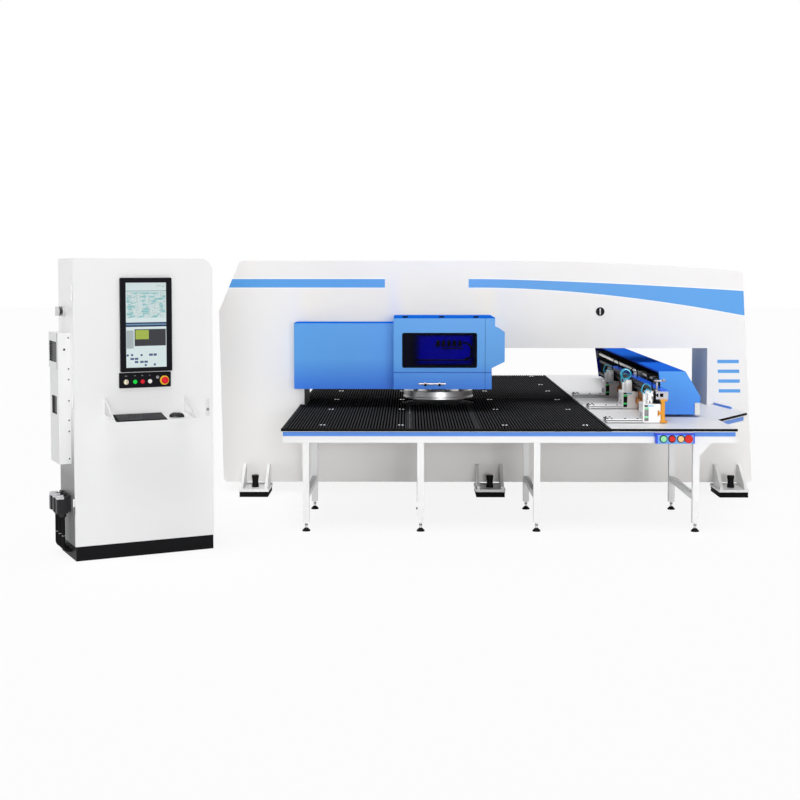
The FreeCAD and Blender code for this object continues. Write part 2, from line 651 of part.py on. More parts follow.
def die(x, y):
    """Die button in its seat, flush with the table's brushes."""
    z0 = LOWER_TURRET_TOP - DIE_HEIGHT
    button = rod((x, y, z0), (0, 0, 1), DIE_RADIUS, DIE_HEIGHT + 8)
    return button.cut(rod((x, y, z0 - 1), (0, 0, 1), DIE_BORE, DIE_HEIGHT + 10))


def turret_bearings():
    """Upper and lower bearing housings, bolted to the two arms of the frame."""
    floor = collar_z()
    bore = SPINDLE_RADIUS + SPINDLE_FIT
    under = UPPER_BEARING_BOTTOM
    upper = turned([(bore, under), (BEARING_RADIUS, under), (BEARING_RADIUS, WINDOW_TOP - BEARING_FLANGE_THICK),
                    (BEARING_FLANGE, WINDOW_TOP - BEARING_FLANGE_THICK), (BEARING_FLANGE, WINDOW_TOP),
                    (CAVITY_RADIUS, WINDOW_TOP), (CAVITY_RADIUS, floor), (bore, floor)], (TURRET_X, 0))
    top = LOWER_TURRET_TOP - TURRET_THICK - BEARING_GAP
    lower = turned([(0, WINDOW_BOTTOM), (BEARING_FLANGE, WINDOW_BOTTOM),
                    (BEARING_FLANGE, WINDOW_BOTTOM + BEARING_FLANGE_THICK),
                    (BEARING_RADIUS, WINDOW_BOTTOM + BEARING_FLANGE_THICK), (BEARING_RADIUS, top),
                    (bore, top), (bore, WINDOW_BOTTOM + 19),
                    (0, WINDOW_BOTTOM + 19)], (TURRET_X, 0))
    return [upper, lower]


def ram_spot():
    """Striking position, over the station at the turret's right."""
    return TURRET_X + STATION_PITCH_RADIUS, 0.0


def ram():
    """Round striker that slides down onto the punch below it."""
    x, y = ram_spot()
    z0 = UPPER_TURRET_BOTTOM + TURRET_THICK + PUNCH_HEAD_HEIGHT + RAM_REST_GAP
    body = rod((x, y, z0), (0, 0, 1), RAM_RADIUS, RAM_LENGTH)
    return body.makeChamfer(3, [e for e in body.Edges if e.CenterOfMass.z < z0 + 0.01 and e.Length > 10])


def ram_guide():
    """Guide block of the ram, bolted under the frame's upper arm beside the bearing."""
    x, y = ram_spot()
    half = RAM_GUIDE_WIDTH / 2
    block = box((x - half, x + half), (y - half, y + half), (RAM_GUIDE_BOTTOM, WINDOW_TOP))
    block = round_edges(block, 20, lambda c, e: upright(e))
    flange_room = rod((TURRET_X, 0, UPPER_BEARING_BOTTOM), (0, 0, 1), BEARING_FLANGE + 2, 500)
    bore = rod((x, y, RAM_GUIDE_BOTTOM - 1), (0, 0, 1), RAM_RADIUS + RAM_FIT, 500)
    return block.cut(bore).cut(flange_room)


# ---- sheet table ------------------------------------------------------------
def table_outline(side):
    """Plan of the table on one side of the frame: +1 behind it, -1 in front."""
    end = TABLE_REAR if side > 0 else TABLE_FRONT
    near = side * SLOT_OUTER
    points = [(TABLE_LEFT, near), (WING_RIGHT, near), (WING_RIGHT, side * WING_END_Y),
              (TABLE_RIGHT, side * WING_START_Y), (TABLE_RIGHT, end), (TABLE_LEFT, end)]
    return points


def plate_z():
    """Under and upper side of the table's plates."""
    return TABLE_TOP - PLATE_HEIGHT, TABLE_TOP


def brush_plates():
    """Brush blocks: three columns before and behind the frame, two inside its window."""
    z0, z1 = plate_z()
    limits = (TABLE_LEFT,) + BRUSH_SEAMS + (BRUSH_RIGHT,)
    rows = ((TABLE_FRONT, -SLOT_OUTER), (SLOT_OUTER, TABLE_REAR))
    plates = [box((a, b - PLATE_GAP), row, (z0, z1)) for row in rows for a, b in zip(limits, limits[1:])]
    hole = rod((TURRET_X, 0, z0 - 1), (0, 0, 1), TURRET_HOLE_RADIUS, PLATE_HEIGHT + 2)
    middle = [(MIDDLE_LEFT, TURRET_X), (TURRET_X, BRUSH_RIGHT - PLATE_GAP)]
    plates += [box(xs, (-SLOT_INNER, SLOT_INNER), (z0, z1)).cut(hole) for xs in middle]
    return group(plates)


def steel_plate(points):
    """Sheet-steel table plate with its edges folded down."""
    z0, z1 = plate_z()
    return outline_xy(points, z0, z1).cut(inset_xy(points, SHEET_WALL, z0 - 1, z1 - SHEET_WALL))


def steel_plates():
    """Smooth plates right of the brushes, where the clamps run."""
    plates = []
    for side in (-1, 1):
        near, end = side * SLOT_OUTER, TABLE_REAR if side > 0 else TABLE_FRONT
        plates.append(steel_plate([(BRUSH_RIGHT, near), (WING_RIGHT, near), (WING_RIGHT, side * WING_END_Y),
                                   (TABLE_RIGHT, side * WING_START_Y), (TABLE_RIGHT, end), (BRUSH_RIGHT, end)]))
    plates.append(steel_plate([(BRUSH_RIGHT, -SLOT_INNER), (MIDDLE_RIGHT, -SLOT_INNER),
                               (MIDDLE_RIGHT, SLOT_INNER), (BRUSH_RIGHT, SLOT_INNER)]))
    return group(plates)


def rail_z():
    """Under and upper side of the square tubes under the plates."""
    top = TABLE_TOP - PLATE_HEIGHT
    return top - RAIL_SIZE, top


def side_frame(side):
    """Welded table frame on one side: rim, cross rails, apron, legs and braces."""
    z0, z1 = rail_z()
    outline = table_outline(side)
    rim = inset_xy(outline, RAIL_INSET, z0, z1).cut(inset_xy(outline, RAIL_INSET + RAIL_SIZE, z0 - 1, z1 + 1))
    ys = [y for y in LEG_YS if y * side > 0]
    end = max(ys, key=abs)
    half = RAIL_SIZE / 2
    pieces = [rim]
    for x in LEG_XS:
        inner = SLOT_INNER if x in (LEG_XS[0], LEG_XS[2]) else SLOT_OUTER + RAIL_INSET
        pieces.append(box((x - half, x + half), span(side * inner, end), (z0, z1)))
        leg_half = LEG_SIZE / 2
        for y in ys:
            sides = (x - leg_half, x + leg_half), (y - leg_half, y + leg_half)
            pieces.append(box(*sides, (LEG_FOOT_HEIGHT, z1)))
        pieces.append(box((x - 20, x + 20), span(ys[0], ys[1]), (BRACE_Z - 25, BRACE_Z + 25)))
    mid_y = min(ys, key=abs)
    pieces.append(box((TABLE_LEFT + 20, TABLE_RIGHT - 20), (mid_y - half, mid_y + half), (z0, z1)))
    edge = (TABLE_REAR if side > 0 else TABLE_FRONT) - side * RAIL_INSET
    pieces.append(box((TABLE_LEFT + RAIL_INSET, TABLE_RIGHT - RAIL_INSET), span(edge - side * 30, edge),
                      (z0 - APRON_HEIGHT, z0)))
    if side < 0:
        pieces.append(table_gusset(z0 - APRON_HEIGHT, edge))
    return join(pieces)


def table_gusset(top, edge):
    """Triangular stiffener beside the front right leg."""
    left = LEG_XS[3] + LEG_SIZE / 2
    points = [(left, top + 5), (left + GUSSET_BRACKET, top + 5), (left, top - GUSSET_BRACKET)]
    return outline_xz(points, edge + 6, edge + 18)


def middle_frame():
    """Two short frames on posts inside the window, left and right of the turret."""
    z0, z1 = rail_z()
    frames = []
    half = RAIL_SIZE / 2
    for x0, x1, posts, cross in ((MIDDLE_LEFT + 5, TURRET_BAY[0], POST_XS_LEFT, POST_XS_LEFT[:1]),
                                 (TURRET_BAY[1], MIDDLE_RIGHT - 10, POST_XS_RIGHT, POST_XS_RIGHT[1::2])):
        pieces = []
        for y in (-POST_Y, POST_Y):
            pieces.append(box((x0, x1), (y - half, y + half), (z0, z1)))
            pieces += [box((x - half, x + half), (y - half, y + half), (WINDOW_BOTTOM, z1)) for x in posts]
        pieces += [box((x - half, x + half), (-SLOT_INNER, SLOT_INNER), (z0, z1)) for x in cross]
        frames.append(join(pieces))
    return frames


def table_frames():
    """Front, rear and window frames of the table."""
    return group([side_frame(-1), side_frame(1)] + middle_frame())


def levelling_foot(x, y):
    """Screwed cone foot of a table leg."""
    cone = flats([(FOOT_CONE_RADIUS, 0), (FOOT_SCREW_RADIUS, FOOT_CONE_HEIGHT)], (x, y), 12)
    stem = hexagon((x, y), FOOT_CONE_HEIGHT, FOOT_SCREW_RADIUS, LEG_FOOT_HEIGHT - FOOT_CONE_HEIGHT)
    return join([cone, stem])


def edge_strips():
    """Coloured strip along the table's front edge and both slanted wing edges."""
    z1 = rail_z()[1] - 6
    z0 = z1 - EDGE_STRIP_HEIGHT
    front = TABLE_FRONT + RAIL_INSET
    strips = [box((TABLE_LEFT + RAIL_INSET, STATION_X[0]), (front - EDGE_STRIP_THICK, front), (z0, z1)),
              box((STATION_X[1], TABLE_RIGHT - RAIL_INSET), (front - EDGE_STRIP_THICK, front), (z0, z1))]
    run = Vector(WING_RIGHT - TABLE_RIGHT, WING_START_Y - WING_END_Y, 0)
    normal = Vector(run.y, -run.x, 0).normalize()
    for side in (-1, 1):
        a = Vector(TABLE_RIGHT, side * WING_START_Y, z0)
        b = Vector(WING_RIGHT, side * WING_END_Y, z0)
        out = Vector(normal.x, -side * normal.y, 0)
        along = (b - a).normalize()
        inner = out * (-RAIL_INSET)
        start = a + inner + along * 40
        stop = b + inner - along * 40
        ring = [start, stop, stop + out * EDGE_STRIP_THICK, start + out * EDGE_STRIP_THICK]
        face = Part.Face(Part.makePolygon(ring + ring[:1]))
        strips.append(face.extrude(Vector(0, 0, EDGE_STRIP_HEIGHT)))
    return group(strips)


def table_bolts():
    """Low-headed bolts that hold the brush blocks down."""
    z1 = TABLE_TOP
    return group([hexagon((x, y), z1, BOLT_RADIUS, BOLT_HEAD) for x in BOLT_XS for y in BOLT_YS])


# ---- push buttons -----------------------------------------------------------
def plunger(at, out):
    """Push button that slides in its collar: straight cap on a round stem."""
    start = Vector(*at) - Vector(*out) * 8
    return rod(tuple(start), out, STATION_BUTTON_RADIUS, 8 + BUTTON_PROUD)


def stop_button(at, out):
    """Mushroom-headed stop button on its stem."""
    start = Vector(*at) - Vector(*out) * 8
    stem = rod(tuple(start), out, STOP_STEM, 8 + STOP_PROUD)
    cap_at = Vector(*at) + Vector(*out) * (STOP_PROUD - STOP_CAP)
    cap = rod(tuple(cap_at), out, STATION_STOP_RADIUS, STOP_CAP)
    rim = [e for e in cap.Edges
           if (e.CenterOfMass - cap_at).dot(Vector(*out)) > STOP_CAP - 0.1 and e.Length > 50]
    return join([stem, cap.makeChamfer(STOP_BEVEL, rim)])


def button_seats(body, spots, radius, out, depth):
    """Blind holes for button stems."""
    for at in spots:
        hole_at = Vector(*at) - Vector(*out) * depth
        body = body.cut(rod(tuple(hole_at), out, radius + BUTTON_FIT, depth + 1))
    return body


def station_front():
    """Y of the button box's front face."""
    return TABLE_FRONT + RAIL_INSET - STATION_DEPTH


def button_box():
    """Operator's button box on the table's apron."""
    front = station_front()
    body = box(STATION_X, (front, TABLE_FRONT + RAIL_INSET), STATION_Z)
    body = round_edges(body, 6, lambda c, e: upright(e) and c.y < front + 1)
    spots = [(x, front, STATION_BUTTON_Z) for x in STATION_BUTTON_XS]
    body = button_seats(body, spots, STATION_BUTTON_RADIUS, (0, -1, 0), 24)
    stop = (STATION_STOP_X, front, STATION_BUTTON_Z)
    return button_seats(body, [stop], STOP_STEM, (0, -1, 0), 24)


# ---- cross beam -------------------------------------------------------------
def beam_housing():
    """Cross beam under its folded cover: a profile with two stepped recesses, and end plates."""
    roof = BEAM_TOP - BEAM_ROOF
    outside = [(BEAM_LEFT, BEAM_TOP), (BEAM_TOP_RIGHT, BEAM_TOP), BEAM_SHOULDER, (BEAM_RIGHT_BOTTOM, BEAM_BOTTOM)]
    profile = outside + [(BEAM_WALL_X, BEAM_BOTTOM), (BEAM_WALL_X, BEAM_CAVITY_Z), (BEAM_CAVITY_X, BEAM_CAVITY_Z),
                         (BEAM_CAVITY_X, roof), (BEAM_LEFT, roof)]
    ends = outside + [(BEAM_LEFT_BOTTOM, BEAM_BOTTOM)]
    return join([outline_xz(profile, BEAM_FRONT, BEAM_REAR),
                 outline_xz(ends, BEAM_FRONT, BEAM_FRONT + BEAM_END_PLATE),
                 outline_xz(ends, BEAM_REAR - BEAM_END_PLATE, BEAM_REAR)])


def beam_rails():
    """Two linear rails on the beam for the carriage."""
    x0 = BEAM_WALL_X - BEAM_RAIL_HEIGHT
    half = BEAM_RAIL_WIDTH / 2
    ys = (BEAM_FRONT + BEAM_END_PLATE, BEAM_REAR - BEAM_END_PLATE)
    return group([box((x0, BEAM_WALL_X), ys, (z - half, z + half)) for z in BEAM_RAIL_ZS])


def cross_rails():
    """Two linear rails on the frame's lower arm, one each side."""
    half = CROSS_RAIL_WIDTH / 2
    return group([box(CROSS_RAIL_X, (y - half, y + half), (WINDOW_BOTTOM, WINDOW_BOTTOM + CROSS_RAIL_HEIGHT))
                  for y in (-CROSS_RAIL_Y, CROSS_RAIL_Y)])


def beam_saddle(side):
    """Slide blocks, plate and web that carry the beam on one cross rail."""
    y = side * CROSS_RAIL_Y
    half = CROSS_RAIL_WIDTH / 2 + SLIDE_GAP
    rail_top = WINDOW_BOTTOM + CROSS_RAIL_HEIGHT + SLIDE_GAP
    blocks = []
    for x in (SADDLE_X[0], SADDLE_X[1] - BLOCK_LENGTH):
        block = box((x, x + BLOCK_LENGTH), (y - 28, y + 28), (WINDOW_BOTTOM + 8, SADDLE_TOP - 14))
        groove = box((x - 1, x + BLOCK_LENGTH + 1), (y - half, y + half), (WINDOW_BOTTOM, rail_top))
        blocks.append(block.cut(groove))
    plate = box(SADDLE_X, (y - 28, y + 28), (SADDLE_TOP - 15, SADDLE_TOP))
    web = box((SADDLE_X[0] + 15, SADDLE_X[1] - 15), span(side * SADDLE_WEB[0], side * SADDLE_WEB[1]),
              (SADDLE_TOP - 1, BEAM_BOTTOM))
    return join(blocks + [plate, web])


def beam_buffer():
    """Light block on the beam's front end plate, at its lower right corner."""
    return box(BUFFER_X, (BEAM_FRONT - BUFFER_THICK, BEAM_FRONT), (BEAM_BOTTOM, BEAM_BOTTOM + BUFFER_HEIGHT))


def screw_bearing(y):
    """Bearing block of the ball screw, on the back wall of the upper recess."""
    x0 = SCREW_X - 38
    block = box((x0, BEAM_CAVITY_X), (y, y + SCREW_BEARING_THICK), (BEAM_CAVITY_Z, SCREW_Z + 40))
    bore = rod((SCREW_X, y - 1, SCREW_Z), (0, 1, 0), SCREW_END_RADIUS + SCREW_FIT, SCREW_BEARING_THICK + 2)
    return block.cut(bore)


def screw_drive():
    """Servo motor and the screw's two bearing blocks."""
    half = MOTOR_SIZE / 2
    motor = box((SCREW_X - half, SCREW_X + half), MOTOR_Y, (BEAM_CAVITY_Z + 1, BEAM_CAVITY_Z + 1 + MOTOR_SIZE))
    motor = round_edges(motor, 10, lambda c, e: through(e))
    bracket = box((SCREW_X - half, BEAM_CAVITY_X), (MOTOR_Y[1], MOTOR_Y[1] + 14),
                  (BEAM_CAVITY_Z, BEAM_CAVITY_Z + MOTOR_SIZE))
    bore = rod((SCREW_X, MOTOR_Y[1] - 1, SCREW_Z), (0, 1, 0), 26, 40)
    return group([join([motor, bracket]).cut(bore), screw_bearing(SCREW_FRONT_BEARING),
                  screw_bearing(SCREW_REAR_BEARING)])


def ball_screw():
    """Ball screw with turned-down ends and a coupling at the motor."""
    thread0 = SCREW_FRONT_BEARING + SCREW_BEARING_THICK + 1
    thread1 = SCREW_REAR_BEARING - 1
    thread = rod((SCREW_X, thread0, SCREW_Z), (0, 1, 0), SCREW_RADIUS, thread1 - thread0)
    front_end = rod((SCREW_X, MOTOR_Y[1] + 2, SCREW_Z), (0, 1, 0), SCREW_END_RADIUS, thread0 - MOTOR_Y[1] - 1)
    rear_end = rod((SCREW_X, thread1 - 1, SCREW_Z), (0, 1, 0), SCREW_END_RADIUS, SCREW_BEARING_THICK + 6)
    coupling = rod((SCREW_X, MOTOR_Y[1] + 40, SCREW_Z), (0, 1, 0), 27, 80)
    return join([thread, front_end, rear_end, coupling])


# ---- clamp carriage ---------------------------------------------------------
def dovetail(extra, y0, y1):
    """Dovetail bar on the carriage's web, swollen by a running gap."""
    x1 = CARRIAGE_WEB[0]
    neck, head = DOVETAIL_NECK / 2 + extra, DOVETAIL_HEAD / 2 + extra
    x0 = x1 - DOVETAIL_DEPTH - extra
    z = DOVETAIL_Z
    points = [(x1 + 1, z - neck), (x1 + 1, z + neck), (x1 - DOVETAIL_DEPTH * 0.4, z + neck), (x0, z + head),
              (x0 + 8, z), (x0, z - head), (x1 - DOVETAIL_DEPTH * 0.4, z - neck)]
    if extra:
        points[4] = (x0, z)
    return outline_xz(points, y0, y1)


def carriage_beam():
    """I-section carriage beam with the dovetail bar that the clamps hang on."""
    y0, y1 = CARRIAGE_Y
    web = box(CARRIAGE_WEB, (y0, y1), (CARRIAGE_BOTTOM, CARRIAGE_TOP))
    foot = box(CARRIAGE_FOOT, (y0, y1), (CARRIAGE_BOTTOM, CARRIAGE_BOTTOM + CARRIAGE_FLANGE))
    head = box(CARRIAGE_FOOT, (y0, y1), (CARRIAGE_TOP - CARRIAGE_FLANGE, CARRIAGE_TOP))
    beam = join([web, foot, head, dovetail(0, y0, y1)])
    beam = round_edges(beam, 4, lambda c, e: through(e) and abs(c.z - CARRIAGE_BOTTOM - CARRIAGE_FLANGE) < 0.1
                       and CARRIAGE_FOOT[0] < c.x < CARRIAGE_FOOT[1] and abs(c.x - CARRIAGE_WEB[0]) < 0.1)
    return beam


def carriage_extrusion():
    """Slotted aluminium extrusion along the top of the carriage."""
    y0, y1 = CARRIAGE_Y
    x0, x1 = EXTRUSION_X
    mid = (CARRIAGE_TOP + EXTRUSION_TOP) / 2
    bar = box((x0, x1), (y0 + 10, y1 - 10), (CARRIAGE_TOP, EXTRUSION_TOP))
    half = EXTRUSION_SLOT / 2
    slots = [box((x0 - 1, x0 + EXTRUSION_SLOT_DEPTH), (y0, y1), (mid - half / 2, mid + half / 2)),
             box((x0 + 8, x0 + EXTRUSION_SLOT_DEPTH), (y0, y1), (mid - half, mid + half)),
             box(EXTRUSION_CORE_X, (y0, y1), (mid - half, mid + half))]
    return bar.cut(group(slots))


def carriage_strip():
    """Bright cover strip on top of the extrusion, along its back edge."""
    y0, y1 = CARRIAGE_Y
    return box(STRIP_X, (y0, y1), (EXTRUSION_TOP, EXTRUSION_TOP + STRIP_THICK))


def carriage_slides():
    """Guide blocks on the beam's rails and the ball nut with its bracket."""
    solids = []
    rail_face = BEAM_WALL_X - BEAM_RAIL_HEIGHT - SLIDE_GAP
    groove = BEAM_RAIL_WIDTH / 2 + SLIDE_GAP
    for y in CARRIAGE_BLOCK_YS:
        ys = (y - BLOCK_LENGTH / 2, y + BLOCK_LENGTH / 2)
        for z in BEAM_RAIL_ZS:
            half = min(BLOCK_WIDTH / 2, BEAM_CAVITY_Z - z - 2)
            block = box((CARRIAGE_WEB[1], BEAM_WALL_X - 5), ys, (z - BLOCK_WIDTH / 2, z + half))
            block = block.cut(box((rail_face, BEAM_WALL_X), (ys[0] - 1, ys[1] + 1), (z - groove, z + groove)))
            flange = box(CARRIAGE_FOOT, (ys[0] - 1, ys[1] + 1), (CARRIAGE_TOP - CARRIAGE_FLANGE, EXTRUSION_TOP))
            skirt = box(EXTRUSION_X, (ys[0] - 1, ys[1] + 1), (CARRIAGE_TOP, EXTRUSION_TOP))
            solids.append(block.cut(flange).cut(skirt))
    barrel = rod((SCREW_X, NUT_Y[0], SCREW_Z), (0, 1, 0), NUT_RADIUS, NUT_Y[1] - NUT_Y[0])
    arm = box((EXTRUSION_X[1], SCREW_X), (NUT_Y[0] + 20, NUT_Y[1] - 20), (EXTRUSION_TOP - 14, SCREW_Z + 12))
    arm = arm.cut(box(STRIP_X, CARRIAGE_Y, (EXTRUSION_TOP, EXTRUSION_TOP + STRIP_THICK)))
    bore = rod((SCREW_X, NUT_Y[0] - 1, SCREW_Z), (0, 1, 0), SCREW_RADIUS + SCREW_FIT, NUT_Y[1] - NUT_Y[0] + 2)
    solids.append(join([barrel, arm]).cut(bore))
    return group(solids)


def air_hose():
    """Air line clipped along the carriage, over the clamps."""
    reach = HOSE_RADIUS + HOSE_GAP
    start = (CARRIAGE_WEB[0] - reach, HOSE_Y[0], CARRIAGE_TOP - CARRIAGE_FLANGE - reach)
    return rod(start, (0, 1, 0), HOSE_RADIUS, HOSE_Y[1] - HOSE_Y[0])


def clamp_body(y):
    """Sheet clamp: block with a dovetail groove, lower jaw and pocket for the upper jaw."""
    ys = (y - CLAMP_HALF, y + CLAMP_HALF)
    jaw_top = CARRIAGE_BOTTOM + JAW_THICK
    block = box(CLAMP_X, ys, (jaw_top, CLAMP_TOP))
    block = round_edges(block, 8, lambda c, e: through(e) and c.z > CLAMP_TOP - 1)
    lower = box((JAW_TIP_X, CARRIAGE_FOOT[0] - 2), ys, (CARRIAGE_BOTTOM, jaw_top))
    body = join([block, lower])
    pocket = box((CLAMP_X[0] - 1, POCKET_X), (y - JAW_HALF - 2, y + JAW_HALF + 2), (jaw_top, POCKET_TOP))
    groove = dovetail(DOVETAIL_FIT, ys[0] - 1, ys[1] + 1)
    relief = box((CARRIAGE_FOOT[0] - 2, CLAMP_X[1] + 1), (ys[0] - 1, ys[1] + 1),
                 (CARRIAGE_BOTTOM - 1, CARRIAGE_BOTTOM + CARRIAGE_FLANGE + 2))
    pin = rod((JAW_PIVOT[0], ys[0] + 5, JAW_PIVOT[1]), (0, 1, 0), JAW_PIN_RADIUS, 2 * CLAMP_HALF - 10)
    return join([body.cut(pocket).cut(groove).cut(relief), pin])


def clamp_jaw(y):
    """Upper jaw: long flat arm with a boss on the clamp's pivot pin."""
    z0 = CARRIAGE_BOTTOM + JAW_THICK + JAW_GAP
    arm = box((JAW_TIP_X, JAW_PIVOT[0] + 12), (y - JAW_HALF, y + JAW_HALF), (z0, z0 + JAW_THICK))
    boss = rod((JAW_PIVOT[0], y - JAW_HALF, JAW_PIVOT[1]), (0, 1, 0), JAW_BOSS_RADIUS, 2 * JAW_HALF)
    rib = box((JAW_PIVOT[0] - 12, JAW_PIVOT[0] + 12), (y - JAW_HALF, y + JAW_HALF), (z0, JAW_PIVOT[1]))
    bore = rod((JAW_PIVOT[0], y - CLAMP_HALF, JAW_PIVOT[1]), (0, 1, 0), JAW_PIN_RADIUS + JAW_PIN_FIT,
               2 * CLAMP_HALF)
    return join([arm, boss, rib]).cut(bore)


def clamp_cylinder(y):
    """Air cylinder on top of the clamp, with its two hose ports."""
    block = box(CYLINDER_X, (y - CYLINDER_HALF, y + CYLINDER_HALF), (CLAMP_TOP, CYLINDER_TOP))
    block = round_edges(block, 6, lambda c, e: upright(e))
    port = rod((CYLINDER_X[0] - 14, y - 20, CLAMP_TOP), (0, 0, 1), PORT_RADIUS, CYLINDER_TOP - CLAMP_TOP - 20)
    tie = box((CYLINDER_X[0] - 14, CYLINDER_X[0] + 1), (y - 26, y - 14), (CLAMP_TOP, CLAMP_TOP + 30))
    return join([block, port, tie])


# ---- control cabinet --------------------------------------------------------
def cabinet_arch(y0, y1, inset, z0):
    """Cabinet's front outline with its rounded upper right corner, from y0 to y1."""
    body = box((inset, CABINET_WIDTH - inset), (y0, y1), (z0, CABINET_HEIGHT - inset))
    return round_edges(body, CABINET_ROUND - inset,
                       lambda c, e: through(e) and c.z > CABINET_HEIGHT - inset - 1 and c.x > CABINET_WIDTH / 2)


def cabinet_shell():
    """Sheet-steel enclosure, open in front, with the fixed hinge halves."""
    w = CABINET_WALL
    outer = cabinet_arch(0, CABINET_DEPTH, 0, PLINTH_HEIGHT)
    inner = cabinet_arch(-1, CABINET_DEPTH - w, w, PLINTH_HEIGHT + w)
    shell = outer.cut(inner)
    axis_u, axis_v = cabinet_hinge()
    hinges = []
    for z in CABINET_HINGE_ZS:
        knuckle = rod((axis_u, axis_v, z - CABINET_HINGE_LENGTH), (0, 0, 1), CABINET_HINGE_RADIUS,
                      CABINET_HINGE_LENGTH)
        strap = join([box((axis_u, -1), (axis_v - 3, 2), (z - CABINET_HINGE_LENGTH, z)),
                      box((axis_u, 0), (1, 40), (z - CABINET_HINGE_LENGTH, z))])
        pin = rod((axis_u, axis_v, z - 1), (0, 0, 1), CABINET_HINGE_PIN, CABINET_HINGE_LENGTH)
        hinges.append(join([knuckle, strap, pin]))
    return join([shell] + hinges)


def cabinet_hinge():
    """Plan position of the cabinet door's hinge line."""
    return -CABINET_HINGE_RADIUS - 1, -CABINET_DOOR_THICK / 2


def cabinet_plinth():
    """Black base frame under the cabinet, set back a little."""
    us = (PLINTH_INSET, CABINET_WIDTH - PLINTH_INSET)
    vs = (PLINTH_INSET - CABINET_DOOR_THICK, CABINET_DEPTH - PLINTH_INSET)
    plinth = box(us, vs, (0, PLINTH_HEIGHT))
    return plinth.cut(box((us[0] + PLINTH_RIM, us[1] - PLINTH_RIM), (vs[0] + PLINTH_RIM, vs[1] - PLINTH_RIM),
                          (-1, PLINTH_HEIGHT + 1)))


def cabinet_door():
    """Tray-shaped door with its hinge halves, panel seats and button holes."""
    y1 = -CABINET_DOOR_GAP
    y0 = -CABINET_DOOR_THICK
    outer = cabinet_arch(y0, y1, 0, PLINTH_HEIGHT + 2)
    inner = cabinet_arch(y0 + CABINET_DOOR_SKIN, y1 + 1, 25, PLINTH_HEIGHT + 30)
    door = outer.cut(inner)
    axis_u, axis_v = cabinet_hinge()
    for z in CABINET_HINGE_ZS:
        top = z + 0.5 + CABINET_HINGE_LENGTH
        knuckle = rod((axis_u, axis_v, z + 0.5), (0, 0, 1), CABINET_HINGE_RADIUS, CABINET_HINGE_LENGTH)
        strap = box((axis_u, 1), (axis_v - 3, axis_v + 3), (z + 0.5, top))
        bore = rod((axis_u, axis_v, z), (0, 0, 1), CABINET_HINGE_PIN + SPINDLE_FIT, CABINET_HINGE_LENGTH + 2)
        door = join([door, knuckle, strap]).cut(bore)
    return door


def monitor():
    """Portrait screen housing on the door, with its glass seat."""
    y0 = -CABINET_DOOR_THICK - SCREEN_PROUD
    body = box(SCREEN_U, (y0, -CABINET_DOOR_THICK - SEAT_GAP), SCREEN_Z)
    body = round_edges(body, 8, lambda c, e: through(e))
    u0, u1, z0, z1 = SCREEN_GLASS
    return body.cut(box((u0, u1), (y0 - 1, y0 + 4), (z0, z1)))


def control_panel():
    """Button plate under the screen, with collars round its seats."""
    y0 = -CABINET_DOOR_THICK - PANEL_PROUD
    body = box(PANEL_U, (y0, -CABINET_DOOR_THICK - SEAT_GAP), PANEL_Z)
    body = round_edges(body, 6, lambda c, e: through(e))
    spots = [(u, y0, PANEL_BUTTON_Z) for u in PANEL_BUTTON_US]
    body = button_seats(body, spots, PANEL_BUTTON_RADIUS, (0, -1, 0), PANEL_SEAT_DEPTH)
    return button_seats(body, [(PANEL_STOP[0], y0, PANEL_STOP[1])], STOP_STEM, (0, -1, 0), PANEL_SEAT_DEPTH)


def panel_face():
    """Y of the button plate's front face."""
    return -CABINET_DOOR_THICK - PANEL_PROUD


def panel_plunger(u):
    """Push button of the plate, with travel left behind it."""
    y = panel_face() + PANEL_STEM_DEPTH
    return rod((u, y, PANEL_BUTTON_Z), (0, -1, 0), PANEL_BUTTON_RADIUS, PANEL_STEM_DEPTH + BUTTON_PROUD)


def panel_stop():
    """Stop button of the plate, with travel left behind it."""
    y = panel_face()
    u, z = PANEL_STOP
    stem = rod((u, y + PANEL_STEM_DEPTH, z), (0, -1, 0), STOP_STEM, PANEL_STEM_DEPTH + STOP_PROUD)
    cap_y = y - STOP_PROUD + STOP_CAP
    cap = rod((u, cap_y, z), (0, -1, 0), PANEL_STOP_RADIUS, STOP_CAP)
    rim = [e for e in cap.Edges if e.CenterOfMass.y < cap_y - STOP_CAP + 0.1 and e.Length > 50]
    return join([stem, cap.makeChamfer(STOP_BEVEL, rim)])


def selector_knob():
    """Turning selector with a grip bar across its face."""
    y = panel_face() - 0.3
    base = rod((PANEL_KNOB_U, y, PANEL_BUTTON_Z), (0, -1, 0), KNOB_RADIUS, 8)
    grip = box((PANEL_KNOB_U - 4, PANEL_KNOB_U + 4), (y - KNOB_LENGTH, y - 7),
               (PANEL_BUTTON_Z - KNOB_RADIUS + 1, PANEL_BUTTON_Z + KNOB_RADIUS - 1))
    return join([base, grip])


def key_switch():
    """Key in its lock barrel."""
    u, z = PANEL_KEY
    y = panel_face() - 0.3
    barrel = rod((u, y, z), (0, -1, 0), KEY_RADIUS, 7)
    blade = box((u - 1.5, u + 1.5), (y - 34, y - 6), (z - 9, z + 9))
    return join([barrel, blade])


def tray_front():
    """Y of the tray's front edge."""
    return -CABINET_DOOR_THICK - TRAY_DEPTH


def tray_surface(y):
    """Height of the tray's upper face at a distance from the door."""
    return TRAY_FRONT_Z + TRAY_SHEET + TRAY_RISE * (y - tray_front()) / TRAY_DEPTH


